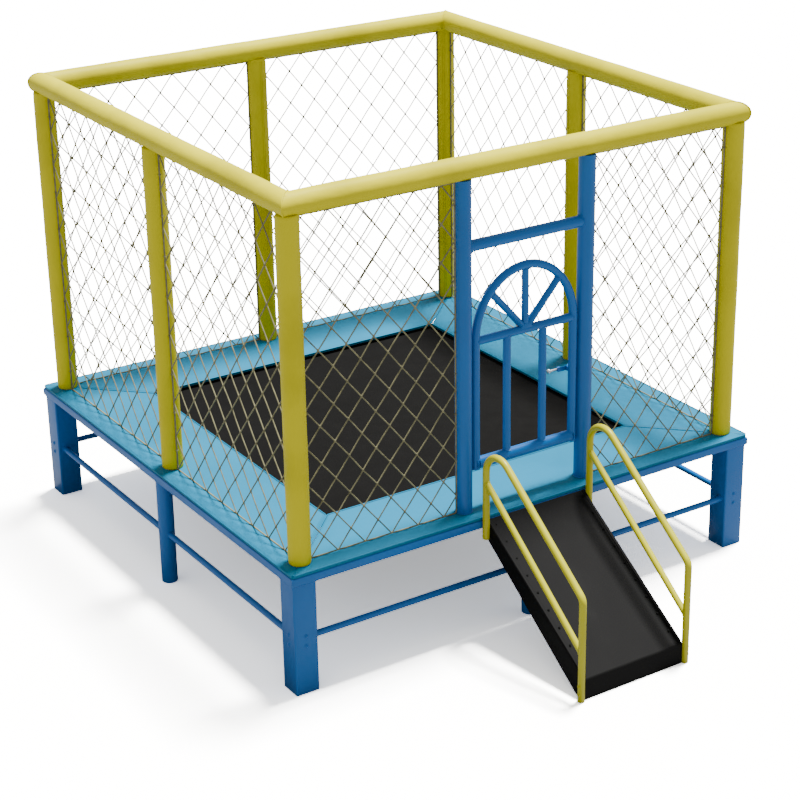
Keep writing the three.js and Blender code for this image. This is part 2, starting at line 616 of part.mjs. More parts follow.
const platform = new THREE.Group();
platform.position.y = SHIFT_Y;
platform.add(
  ...SIDES.map(side),
  toMesh('enclosure_frame', enclosureFrame(), 'steel'),
  toMesh('jump_mat', jumpMat(), 'black'),
  toMesh('door_post_left', hingePost(), 'blue'),
  toMesh('door_post_right', latchPost(), 'blue'),
  toMesh('door_crossbar', crossbar(), 'blue'),
  toMesh('gate_arch', gateArch(), 'blue'),
  toMesh('gate_bottom_rail', gateRail(GATE_BOTTOM, GATE_BOTTOM_R), 'blue'),
  toMesh('gate_middle_rail', gateRail(ARCH_SPRING, GATE_TUBE_R), 'blue'),
  toMesh('gate_picket_left', gatePicket(-PICKET_OFFSET), 'blue'),
  toMesh('gate_picket_right', gatePicket(PICKET_OFFSET), 'blue'),
  toMesh('gate_fan', gateFan(), 'blue'),
  toMesh('latch_housing', latchHousing(), 'blue'),
  toMesh('latch_bolt', latchBolt(), 'steel'),
  toMesh('ramp_frame', rampFrame(), 'black'),
  toMesh('ramp_cover', rampCover(), 'black'),
  toMesh('handrail_left', handrail(-HANDRAIL_X), 'handrail'),
  toMesh('handrail_right', handrail(HANDRAIL_X), 'handrail'),
);

const trampoline = new THREE.Group();
trampoline.name = 'trampoline';
trampoline.add(platform);

export default trampoline;
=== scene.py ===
"""A fenced square trampoline: paint, foam, cloth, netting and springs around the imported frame.

Places are metres in the platform's own directions: X along the front, Y towards the back and Z up, from
the middle of the platform at the ground. Each side's pieces are made at the front and turned into place.
"""
import math

import bmesh
import bpy
import numpy as np
from mathutils import Matrix, Vector, noise


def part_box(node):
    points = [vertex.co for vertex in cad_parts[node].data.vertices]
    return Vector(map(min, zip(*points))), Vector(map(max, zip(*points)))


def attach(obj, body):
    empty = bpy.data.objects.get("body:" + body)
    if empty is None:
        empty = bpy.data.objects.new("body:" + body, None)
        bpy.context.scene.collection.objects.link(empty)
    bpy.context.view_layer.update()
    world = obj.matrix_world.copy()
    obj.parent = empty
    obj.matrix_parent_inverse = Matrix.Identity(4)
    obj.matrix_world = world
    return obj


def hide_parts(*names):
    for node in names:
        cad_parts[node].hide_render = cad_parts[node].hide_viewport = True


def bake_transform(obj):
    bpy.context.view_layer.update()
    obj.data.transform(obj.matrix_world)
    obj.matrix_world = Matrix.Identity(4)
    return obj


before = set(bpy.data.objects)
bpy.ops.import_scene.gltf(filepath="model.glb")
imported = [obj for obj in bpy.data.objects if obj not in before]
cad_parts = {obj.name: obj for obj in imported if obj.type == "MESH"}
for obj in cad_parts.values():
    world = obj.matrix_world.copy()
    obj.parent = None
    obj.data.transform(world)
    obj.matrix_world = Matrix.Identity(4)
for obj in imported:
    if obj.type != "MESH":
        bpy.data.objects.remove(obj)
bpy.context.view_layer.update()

# Sizes read from the frame ----------------------------------------------------------------------------

UP = (0, 0, 1)
MIDDLE_Y = (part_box("deck_beam_front")[0].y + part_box("deck_beam_back")[1].y) / 2
TURNS = {"front": 0, "right": 90, "back": 180, "left": 270}
CORNERS = {"front": "front_left", "right": "front_right", "back": "back_right", "left": "back_left"}


def box(node):
    """A node's lowest and highest corners, in platform places."""
    low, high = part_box(node)
    shift = Vector((0, MIDDLE_Y, 0))
    return low - shift, high - shift


def middle(node):
    low, high = box(node)
    return (low + high) / 2


DECK_HALF = -box("deck_beam_front")[0].y
BEAM_LOW, BEAM_TOP = (corner.z for corner in box("deck_beam_front"))
BEAM_INNER = -box("deck_beam_front")[1].y
DECK_TOP = box("pad_front")[1].z
PAD_INNER = -box("pad_front")[1].y
MAT_HALF = box("jump_mat")[1].x
MAT_TOP = box("jump_mat")[1].z
POST_LINE = -middle("post_sleeve_front_left").y
RING_Z = middle("ring_sleeve_front").z
RING_R = (box("ring_sleeve_front")[1].z - box("ring_sleeve_front")[0].z) / 2
SLEEVE_R = (box("post_sleeve_left")[1].x - box("post_sleeve_left")[0].x) / 2
DOOR_X = middle("door_post_right").x
DOOR_POST_R = (box("door_post_right")[1].x - box("door_post_right")[0].x) / 2
RAIL_Z = middle("lower_rail_front").z
RAIL_Y = middle("lower_rail_front").y
RAIL_R = (box("lower_rail_front")[1].z - box("lower_rail_front")[0].z) / 2
MID_LEG_R = (box("mid_leg_front")[1].x - box("mid_leg_front")[0].x) / 2
STILE_X = middle("gate_arch").x + 0.3175
RAMP_HALF = box("ramp_cover")[1].x
RAMP_FRONT = box("ramp_cover")[0].y
RAMP_BACK = box("ramp_cover")[1].y
RAMP_TOP = box("ramp_cover")[1].z

# Sizes that the frame's boxes don't give.
CLEAR = 0.0003  # between pieces that touch
CORE_R = 0.030
LEG_CORNER_R = 0.010
LEG_BOLT = 0.028  # the leg's bolts above and below the lower rail
LEG_EASE = 0.0015  # height of a leg's eased foot
GATE_TUBE_R = 0.0225
ARCH_SPRING = middle("gate_middle_rail").z
ARCH_TOP = box("gate_arch")[1].z - GATE_TUBE_R
GATE_BOTTOM = middle("gate_bottom_rail").z
GATE_BOTTOM_R = (box("gate_bottom_rail")[1].z - box("gate_bottom_rail")[0].z) / 2
HINGE_X, HINGE_Y = -DOOR_X + 0.056, -POST_LINE + 0.036
HINGE_HEIGHTS = (1.120, 1.540)
KNUCKLE_HIGH = 0.060
KNUCKLE_R = 0.014
PIN_R = 0.008
PIN_BORE_R = 0.0087
BRACKET_THICK = 0.010
PICKET_R = 0.021
SPOKE_R = 0.019
LATCH_Y = -POST_LINE + 0.052
LATCH_HALF = 0.012
BOLT_R = 0.006
HANDRAIL_R = 0.019
HANDRAIL_HEAD_Y = box("handrail_left")[1].y - HANDRAIL_R
HANDRAIL_FOOT_Y = box("handrail_left")[0].y + HANDRAIL_R
HOOK_R = 0.118
KNEE_R = 0.060
KNEE_Z = 0.580
MID_RAIL = (0.900, 0.275)
MID_RAIL_R = 0.017
RAMP_TOE = 0.125
RAMP_COVER = 0.006
RAMP_WALL = 0.020
RAMP_DEPTH = 0.105
RAMP_FOOT = 0.060
RAMP_SLOPE = (RAMP_TOP - RAMP_TOE) / (RAMP_BACK - RAMP_FRONT)
TAB_X = 0.220
TAB_HALF = 0.030
SPRINGS = 18
SPRING_R = 0.011
MAT_CORNER_R = 0.090
ROUND = 40
SLIM = 28


# Shapes: each is a pair of points and faces -----------------------------------------------------------

def unit(vector):
    vector = np.asarray(vector, float)
    return vector / np.linalg.norm(vector)


def aside(axis):
    """A direction square to an axis."""
    return unit(np.cross(axis, (0, 0, 1) if abs(axis[2]) < 0.9 else (0, 1, 0)))


def skin(rows, ring, closed=False):
    """The faces between rings of points, with both end rings capped unless the last joins the first."""
    faces = []
    for i in range(rows if closed else rows - 1):
        j = (i + 1) % rows
        for k in range(ring):
            m = (k + 1) % ring
            faces.append((i * ring + k, i * ring + m, j * ring + m, j * ring + k))
    if not closed:
        faces.append(tuple(range(ring))[::-1])
        faces.append(tuple((rows - 1) * ring + k for k in range(ring)))
    return faces


def bend(start, corner, end, steps):
    """Points of a smooth bend that replaces a corner."""
    shares = [step / steps for step in range(steps + 1)]
    return [start * (1 - t) ** 2 + 2 * corner * t * (1 - t) + end * t ** 2 for t in shares]


def circle(radius, steps=ROUND):
    angles = np.arange(steps) * 2 * math.pi / steps
    return np.stack([np.cos(angles), np.sin(angles)], 1) * radius


def rounded(width, height, radius, steps=5):
    """The outline of a rectangle with round corners."""
    points = []
    for quarter, (x, y) in enumerate(((1, 1), (-1, 1), (-1, -1), (1, -1))):
        for step in range(steps + 1):
            angle = (quarter + step / steps) * math.pi / 2
            points.append((x * (width / 2 - radius) + radius * math.cos(angle),
                           y * (height / 2 - radius) + radius * math.sin(angle)))
    return np.array(points)


def sweep(path, outline, closed=False, side=None, scale=None):
    """An outline carried along a path; its first axis starts along side."""
    path = np.asarray(path, float)
    count, ring = len(path), len(outline)
    after = np.roll(path, -1, 0) - path
    before = path - np.roll(path, 1, 0)
    if not closed:
        after[-1], before[0] = before[-1], after[0]
    after /= np.linalg.norm(after, axis=1)[:, None]
    before /= np.linalg.norm(before, axis=1)[:, None]
    along = after + before
    along /= np.linalg.norm(along, axis=1)[:, None]
    if side is None:
        side = aside(along[0])
    points = np.empty((count, ring, 3))
    first = unit(np.asarray(side, float) - along[0] * np.dot(side, along[0]))
    for i in range(count):
        first = unit(first - along[i] * np.dot(first, along[i]))
        second = np.cross(along[i], first)
        size = 1 if scale is None else scale[i]
        points[i] = path[i] + size * (outline[:, :1] * first + outline[:, 1:] * second)
    return points.reshape(-1, 3), skin(count, ring, closed)


def bar(start, end, radius, steps=ROUND):
    return sweep([start, end], circle(radius, steps))


def block(low, high, radius=0.002):
    """A box with its upright edges rounded."""
    low, high = np.asarray(low, float), np.asarray(high, float)
    centre, size = (low + high) / 2, high - low
    outline = rounded(size[0], size[1], radius, 3)
    return sweep([(centre[0], centre[1], low[2]), (centre[0], centre[1], high[2])], outline, side=(1, 0, 0))


def turned(profile, origin, axis, steps=ROUND):
    """A profile of (distance along the axis, radius), turned round the axis."""
    apart = 1e-7  # keeps points at the same distance from becoming one
    axis = unit(axis)
    path = [np.asarray(origin, float) + axis * (along + apart * i) for i, (along, _) in enumerate(profile)]
    first = aside(axis)
    second = np.cross(axis, first)
    outline = circle(1, steps)
    points = np.concatenate([spot + radius * (outline[:, :1] * first + outline[:, 1:] * second)
                             for spot, (_, radius) in zip(path, profile)])
    return points, skin(len(profile), steps)


def bolt_head(origin, axis, radius=0.008):
    """A low round head on a washer."""
    sunk, washer, washer_r, height = -0.002, 0.0015, radius * 1.5, radius * 0.55
    profile = [(sunk, washer_r), (washer, washer_r), (washer, radius)]
    for angle in np.linspace(0.1, 1.35, 5):
        profile.append((washer + height * math.sin(angle), radius * math.cos(angle)))
    return turned(profile, origin, axis, 20)


def bead(loop, radius=0.0035, pitch=0.007):
    """A weld bead along a closed loop, rippled where each drop froze."""
    loop = np.asarray(loop, float)
    steps = np.linalg.norm(np.roll(loop, -1, 0) - loop, axis=1)
    length = steps.sum()
    per_ripple, swing = 3, 0.16
    count = max(6, round(length / pitch)) * per_ripple
    along = np.concatenate([[0], np.cumsum(steps)])
    ring = np.concatenate([loop, loop[:1]])
    at = np.arange(count) * length / count
    path = np.stack([np.interp(at, along, ring[:, k]) for k in range(3)], 1)
    scale = 1 + swing * np.cos(np.arange(count) * 2 * math.pi / per_ripple)
    return sweep(path, circle(radius, 8), closed=True, scale=scale)


def saddle(origin, along, main, tube_r, main_r, steps=28):
    """The loop where a tube along one direction meets a larger tube that runs along main."""
    along, main = unit(along), unit(main)
    side = np.cross(along, main)
    loop = []
    for i in range(steps):
        angle = 2 * math.pi * i / steps
        across, up = tube_r * math.cos(angle), tube_r * math.sin(angle)
        reach = math.sqrt(max(main_r ** 2 - across ** 2, 0))
        loop.append(np.asarray(origin, float) + along * reach + side * across + main * up)
    return loop


def weld(origin, along, main, tube_r, main_r, radius=0.0035):
    return bead(saddle(origin, along, main, tube_r, main_r), radius)


def ring_loop(centre, axis, radius, steps=28):
    axis = unit(axis)
    first = aside(axis)
    return round_points(centre, radius, np.arange(steps) * 2 * math.pi / steps, first, np.cross(axis, first))


def round_points(centre, radius, angles, first, second):
    centre = np.asarray(centre, float)
    return [centre + radius * (math.cos(a) * first + math.sin(a) * second) for a in angles]


def arc(centre, radius, start, end, steps, plane):
    """Points round a centre from one angle to another, in degrees, in the plane of two unit vectors."""
    first, second = (np.asarray(v, float) for v in plane)
    return round_points(centre, radius, np.radians(np.linspace(start, end, steps + 1)), first, second)


# Objects ----------------------------------------------------------------------------------------------

def linked(name, data):
    """A new object in the scene."""
    shown = bpy.data.objects.new(name, data)
    bpy.context.scene.collection.objects.link(shown)
    return shown


def place(turn=0):
    """From platform places at the front to the frame's places, for a side turned by some degrees."""
    return Matrix.Translation((0, MIDDLE_Y, 0)) @ Matrix.Rotation(math.radians(turn), 4, "Z")


def build(name, shapes, material, turn=0, sharp=38):
    """One object from a list of shapes, in its place."""
    name = name.replace(" ", "_")
    points, faces, start = [], [], 0
    for shape_points, shape_faces in shapes:
        points.append(np.asarray(shape_points))
        faces += [tuple(start + k for k in face) for face in shape_faces]
        start += len(shape_points)
    mesh = bpy.data.meshes.new(name)
    mesh.from_pydata(np.concatenate(points).tolist(), [], faces)
    shell = bmesh.new()
    shell.from_mesh(mesh)
    bmesh.ops.remove_doubles(shell, verts=shell.verts, dist=1e-6)
    bmesh.ops.recalc_face_normals(shell, faces=shell.faces)
    shell.to_mesh(mesh)
    shell.free()
    mesh.transform(place(turn))
    mesh.materials.append(material)
    mesh.shade_smooth()
    mesh.set_sharp_from_angle(angle=math.radians(sharp))
    return linked(name, mesh)


def fit(piece, body, slot, *nodes):
    """The body that the piece moves with, and the nodes that it stands for, which it hides. The slot is not
    used.
    """
    if nodes:
        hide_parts(*nodes)
    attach(piece, body)
    return piece


def settled(piece):
    """A copy of a piece with its modifiers applied, in its place."""
    graph = bpy.context.evaluated_depsgraph_get()
    mesh = bpy.data.meshes.new_from_object(piece.evaluated_get(graph), depsgraph=graph)
    piece.modifiers.clear()
    old = piece.data
    piece.data = mesh
    bpy.data.meshes.remove(old)
    return piece


# Materials --------------------------------------------------------------------------------------------

class Paint:
    """A material's node tree, with its Principled shader and object coordinates to hand."""

    def __init__(self, name, roughness, metallic=0.0, specular=0.5):
        self.material = bpy.data.materials.new(name)
        self.material.use_nodes = True
        self.nodes = self.material.node_tree.nodes
        self.links = self.material.node_tree.links
        self.shader = self.nodes["Principled BSDF"]
        self.shader.inputs["Roughness"].default_value = roughness
        self.shader.inputs["Metallic"].default_value = metallic
        self.shader.inputs["Specular IOR Level"].default_value = specular
        self.where = self.nodes.new("ShaderNodeTexCoord").outputs["Object"]

    def add(self, kind, inputs=None, **settings):
        node = self.nodes.new(kind)
        for key, value in settings.items():
            setattr(node, key, value)
        for key, value in (inputs or {}).items():
            if isinstance(value, bpy.types.NodeSocket):
                self.links.new(value, node.inputs[key])
            else:
                node.inputs[key].default_value = value
        return node

    def noise(self, scale, detail=3.0, stretch=(1, 1, 1)):
        mapped = self.add("ShaderNodeMapping", {"Vector": self.where, "Scale": stretch})
        inputs = {"Vector": mapped.outputs[0], "Scale": scale, "Detail": detail}
        return self.add("ShaderNodeTexNoise", inputs).outputs["Fac"]

    def ramp(self, factor, stops):
        node = self.add("ShaderNodeValToRGB", {"Fac": factor})
        ramp = node.color_ramp
        while len(ramp.elements) < len(stops):
            ramp.elements.new(0.5)
        for element, (at, colour) in zip(ramp.elements, stops):
            element.position = at
            element.color = (*colour, 1) if len(colour) == 3 else colour
        return node.outputs["Color"]

    def colour(self, socket):
        self.links.new(socket, self.shader.inputs["Base Color"])

    def rough(self, factor, low, high):
        node = self.add("ShaderNodeMapRange", {"Value": factor, "To Min": low, "To Max": high})
        self.links.new(node.outputs["Result"], self.shader.inputs["Roughness"])

    def bump(self, *layers):
        """Layers of (height socket, strength, depth in metres), the coarse ones first."""
        normal = None
        for height, strength, depth in layers:
            inputs = {"Height": height, "Strength": strength, "Distance": depth}
            if normal is not None:
                inputs["Normal"] = normal
            normal = self.add("ShaderNodeBump", inputs).outputs["Normal"]
        self.links.new(normal, self.shader.inputs["Normal"])


def shade(colour, factor):
    return tuple(min(1.0, c * factor) for c in colour)


def powder_coat(name, colour):
    """Sprayed and baked paint: a faint orange peel, small tone changes, and dust that dulls its gloss."""
    paint = Paint(name, 0.35, specular=0.3)
    tone = paint.noise(1.6, 4)
    paint.colour(paint.ramp(tone, [(0.30, shade(colour, 0.86)), (0.72, shade(colour, 1.10))]))
    paint.rough(paint.noise(9, 4), 0.27, 0.48)
    paint.bump((paint.noise(40, 3), 0.18, 0.0016), (paint.noise(380, 2), 0.2, 0.0004))
    return paint.material


def vinyl(name, colour, dark=0.80):
    """Coated fabric over foam: a fine leather grain, soft creases, and a darker and lighter tone in broad
    patches.
    """
    paint = Paint(name, 0.5, specular=0.14)
    tone = paint.noise(2.2, 5)
    paint.colour(paint.ramp(tone, [(0.28, shade(colour, dark)), (0.5, colour), (0.75, shade(colour, 1.06))]))
    paint.rough(paint.noise(14, 4), 0.40, 0.60)
    mapped = paint.add("ShaderNodeMapping", {"Vector": paint.where})
    grain = paint.add("ShaderNodeTexVoronoi", {"Vector": mapped.outputs[0], "Scale": 420.0},
                      feature="DISTANCE_TO_EDGE")
    paint.bump((paint.noise(6, 3, (1, 1, 0.5)), 0.45, 0.008), (paint.noise(34, 4), 0.35, 0.002),
               (grain.outputs["Distance"], 0.5, 0.0005))
    paint.shader.inputs["Sheen Weight"].default_value = 0.02
    return paint.material


def weave(name, colour, thread):
    """Flat threads, over and under each other; thread is their spacing in metres."""
    paint = Paint(name, 0.72, specular=0.06)
    scale = 1 / thread / (2 * math.pi) * 2
    waves = [paint.add("ShaderNodeTexWave", {"Vector": paint.where, "Scale": scale, "Distortion": 0.0},
                       bands_direction=direction).outputs["Fac"] for direction in ("X", "Y")]
    crossed = paint.add("ShaderNodeMath", {0: waves[0], 1: waves[1]}, operation="MULTIPLY").outputs[0]
    tone = paint.add("ShaderNodeMath", {0: paint.noise(3, 4), 1: crossed}, operation="MULTIPLY_ADD")
    tone.inputs[2].default_value = 0.2
    paint.colour(paint.ramp(tone.outputs[0], [(0.2, shade(colour, 0.7)), (0.8, shade(colour, 1.5))]))
    paint.rough(paint.noise(11, 3), 0.62, 0.85)
    paint.bump((paint.noise(5, 3), 0.2, 0.002), (crossed, 0.6, 0.0006))
    return paint.material


def rubber(name, colour):
    """Moulded rubber sheet with a pebbled face and pale scuffs where feet land."""
    paint = Paint(name, 0.8, specular=0.13)
    scuff = paint.noise(6, 6, (1, 0.6, 0.6))
    paint.colour(paint.ramp(scuff, [(0.42, colour), (0.62, shade(colour, 1.7)), (0.8, shade(colour, 2.4))]))
    paint.rough(scuff, 0.62, 0.9)
    pebble = paint.add("ShaderNodeTexVoronoi", {"Vector": paint.where, "Scale": 260.0}, feature="SMOOTH_F1")
    paint.bump((paint.noise(20, 3), 0.2, 0.001), (pebble.outputs["Distance"], 0.7, 0.0008))
    return paint.material


def cord_fibre(name, colour):
    """Twisted net cord, with lay marks across it and a tone that varies at random along it."""
    paint = Paint(name, 0.85, specular=0.2)
    twist = paint.add("ShaderNodeTexWave", {"Vector": paint.where, "Scale": 90.0, "Distortion": 2.5},
                      bands_direction="DIAGONAL")
    paint.colour(paint.ramp(paint.noise(30, 3), [(0.3, shade(colour, 0.7)), (0.7, shade(colour, 1.25))]))
    paint.bump((twist.outputs["Fac"], 0.6, 0.0006))
    return paint.material


def zinc(name):
    """Zinc plate with a faint spangle."""
    paint = Paint(name, 0.35, metallic=0.95)
    spangle = paint.add("ShaderNodeTexVoronoi", {"Vector": paint.where, "Scale": 130.0})
    dull, bright = (0.50, 0.51, 0.53), (0.68, 0.69, 0.70)
    paint.colour(paint.ramp(spangle.outputs["Distance"], [(0.0, dull), (0.8, bright)]))
    paint.rough(paint.noise(25, 3), 0.25, 0.5)
    paint.bump((paint.noise(300, 2), 0.1, 0.0002))
    return paint.material


def black_paint(name):
    """Brushed paint on board, the grain just showing."""
    paint = Paint(name, 0.6, specular=0.07)
    grain = paint.noise(30, 5, (1, 0.06, 1))
    paint.colour(paint.ramp(grain, [(0.3, (0.0016, 0.0016, 0.0016)), (0.8, (0.004, 0.004, 0.004))]))
    paint.rough(grain, 0.45, 0.7)
    paint.bump((grain, 0.25, 0.0008))
    return paint.material


BLUE = powder_coat("blue powder coat", (0.0004, 0.112, 0.385))
HANDRAIL_YELLOW = powder_coat("pale yellow powder coat", (0.42, 0.40, 0.006))
YELLOW_VINYL = vinyl("yellow vinyl", (0.54, 0.485, 0.0003))
CYAN_VINYL = vinyl("cyan vinyl", (0.0002, 0.142, 0.262), dark=0.88)
MAT_WEAVE = weave("black woven mat", (0.0026, 0.0025, 0.0024), 0.003)
WEBBING = weave("black webbing", (0.005, 0.005, 0.005), 0.002)
NET_CORD = cord_fibre("olive net cord", (0.18, 0.17, 0.095))
THREAD = cord_fibre("yellow thread", (0.22, 0.20, 0.01))
BLUE_THREAD = cord_fibre("blue thread", (0.01, 0.10, 0.18))
ZINC = zinc("zinc plate")
RAMP_RUBBER = rubber("black rubber", (0.0022, 0.0022, 0.0023))
RAMP_BOARD = black_paint("black painted board")


# Geometry Nodes ---------------------------------------------------------------------------------------

class Tree:
    """A Geometry Nodes tree with named inputs. It ends in Realize Instances and Set Material."""

    def __init__(self, name, inputs):
        self.tree = bpy.data.node_groups.new(name, "GeometryNodeTree")
        self.tree.interface.new_socket("Geometry", in_out="INPUT", socket_type="NodeSocketGeometry")
        kinds = {int: "NodeSocketInt", float: "NodeSocketFloat"}
        for key, kind in inputs.items():
            self.tree.interface.new_socket(key, in_out="INPUT", socket_type=kinds[kind])
        self.tree.interface.new_socket("Geometry", in_out="OUTPUT", socket_type="NodeSocketGeometry")
        self.given = self.tree.nodes.new("NodeGroupInput").outputs
        self.result = self.tree.nodes.new("NodeGroupOutput").inputs

    def add(self, kind, inputs=None, **settings):
        node = self.tree.nodes.new(kind)
        for key, value in settings.items():
            setattr(node, key, value)
        for key, value in (inputs or {}).items():
            if isinstance(value, bpy.types.NodeSocket):
                self.tree.links.new(value, node.inputs[key])
            else:
                node.inputs[key].default_value = value
        return node.outputs

    def math(self, operation, *values):
        node = self.tree.nodes.new("ShaderNodeMath")
        node.operation = operation
        for i, value in enumerate(values):
            if isinstance(value, bpy.types.NodeSocket):
                self.tree.links.new(value, node.inputs[i])
            else:
                node.inputs[i].default_value = value
        return node.outputs[0]

    def vector(self, x=0.0, y=0.0, z=0.0):
        return self.add("ShaderNodeCombineXYZ", {"X": x, "Y": y, "Z": z})[0]

    def join(self, *shapes):
        node = self.tree.nodes.new("GeometryNodeJoinGeometry")
        for shape in shapes:
            self.tree.links.new(shape, node.inputs[0])
        return node.outputs[0]

    def end(self, geometry, material):
        real = self.add("GeometryNodeRealizeInstances", {"Geometry": geometry})[0]
        smooth = self.add("GeometryNodeSetShadeSmooth", {"Geometry": real})[0]
        coated = self.add("GeometryNodeSetMaterial", {"Geometry": smooth, "Material": material})[0]
        self.tree.links.new(coated, self.result[0])
        return self.tree

    def tube(self, curve, radius, sides):
        ring = self.add("GeometryNodeCurvePrimitiveCircle", {"Resolution": sides, "Radius": radius})["Curve"]
        inputs = {"Curve": curve, "Profile Curve": ring, "Fill Caps": True}
        return self.add("GeometryNodeCurveToMesh", inputs)[0]


def grow(name, tree, values, matrix, source=None):
    """The plain mesh that a tree makes with these inputs, moved by a matrix."""
    name = name.replace(" ", "_")
    mesh = source if source is not None else bpy.data.meshes.new(name)
    piece = linked(name, mesh)
    modifier = piece.modifiers.new("Grow", "NODES")
    modifier.node_group = tree
    for item in tree.interface.items_tree:
        if item.in_out == "INPUT" and item.name in values:
            modifier[item.identifier] = values[item.name]
    settled(piece)
    piece.data.transform(matrix)
    return piece


def net_tree():
    """A diamond net: a cord on one diagonal of each grid cell, knots where they meet, and an edge rope."""
    tree = Tree("diamond net", {"Width": float, "Height": float, "Columns": int, "Rows": int,
                                "Cord Radius": float, "Knot Radius": float, "Rope Radius": float,
                                "Billow": float})
    given = tree.given
    grid = tree.add("GeometryNodeMeshGrid", {
        "Size X": given["Width"], "Size Y": given["Height"],
        "Vertices X": tree.math("ADD", given["Columns"], 1),
        "Vertices Y": tree.math("ADD", given["Rows"], 1)})["Mesh"]
    index = tree.add("GeometryNodeInputIndex")[0]

    def parity(rows):
        column = tree.math("FLOOR", tree.math("DIVIDE", tree.math("ADD", index, 0.5), rows))
        row = tree.math("SUBTRACT", index, tree.math("MULTIPLY", column, rows))
        return tree.math("MODULO", tree.math("ADD", column, row), 2.0)

    cell_x = tree.math("DIVIDE", given["Width"], given["Columns"])
    cell_y = tree.math("DIVIDE", given["Height"], given["Rows"])
    slope = tree.math("ARCTAN2", cell_y, cell_x)
    length = tree.math("SQRT", tree.math("ADD", tree.math("MULTIPLY", cell_x, cell_x),
                                         tree.math("MULTIPLY", cell_y, cell_y)))
    half = tree.math("MULTIPLY", length, 0.5)
    line = tree.add("GeometryNodeCurvePrimitiveLine", {
        "Start": tree.vector(tree.math("MULTIPLY", half, -1.0)), "End": tree.vector(half)})["Curve"]
    line = tree.add("GeometryNodeResampleCurve", {"Curve": line, "Count": 5})[0]
    cord = tree.tube(line, given["Cord Radius"], 7)
    cells = tree.add("GeometryNodeMeshToPoints", {"Mesh": grid}, mode="FACES")[0]
    sign = tree.math("SUBTRACT", 1.0, tree.math("MULTIPLY", parity(given["Rows"]), 2.0))
    cords = tree.add("GeometryNodeInstanceOnPoints", {
        "Points": cells, "Instance": cord, "Rotation": tree.vector(z=tree.math("MULTIPLY", slope, sign))})[0]
    knot = tree.add("GeometryNodeMeshIcoSphere", {"Radius": given["Knot Radius"], "Subdivisions": 2})["Mesh"]
    knot = tree.add("GeometryNodeTransform", {"Geometry": knot, "Scale": (1.0, 1.5, 0.85)})[0]
    even = tree.math("LESS_THAN", parity(tree.math("ADD", given["Rows"], 1)), 0.5)
    knots = tree.add("GeometryNodeInstanceOnPoints", {
        "Points": grid, "Selection": even, "Instance": knot})[0]
    frame_line = tree.add("GeometryNodeCurvePrimitiveQuadrilateral",
                          {"Width": given["Width"], "Height": given["Height"]})["Curve"]
    rope = tree.tube(tree.add("GeometryNodeResampleCurve", {"Curve": frame_line, "Count": 220})[0],
                     given["Rope Radius"], 10)
    net = tree.add("GeometryNodeRealizeInstances", {"Geometry": tree.join(cords, knots)})[0]
    # The cords hang a little out of line, least at the edge rope.
    spot = tree.add("GeometryNodeInputPosition")[0]
    drift = tree.add("ShaderNodeTexNoise", {"Vector": spot, "Scale": 3.1, "Detail": 2.0})["Color"]
    centred = tree.add("ShaderNodeVectorMath", {0: drift, 1: (0.5, 0.5, 0.5)}, operation="SUBTRACT")[0]
    apart = tree.add("ShaderNodeSeparateXYZ", {0: spot})

    def inside(value, size):
        share = tree.math("DIVIDE", tree.math("ABSOLUTE", value), tree.math("MULTIPLY", size, 0.5))
        return tree.math("SUBTRACT", 1.0, tree.math("POWER", tree.math("MINIMUM", share, 1.0), 6.0))

    hold = tree.math("MULTIPLY", inside(apart["X"], given["Width"]), inside(apart["Y"], given["Height"]))
    amount = tree.math("MULTIPLY", hold, given["Billow"])
    offset = tree.add("ShaderNodeVectorMath", {0: centred, "Scale": amount}, operation="SCALE")[0]
    net = tree.add("GeometryNodeSetPosition", {"Geometry": net, "Offset": offset})[0]
    return tree.end(tree.join(net, rope), NET_CORD)


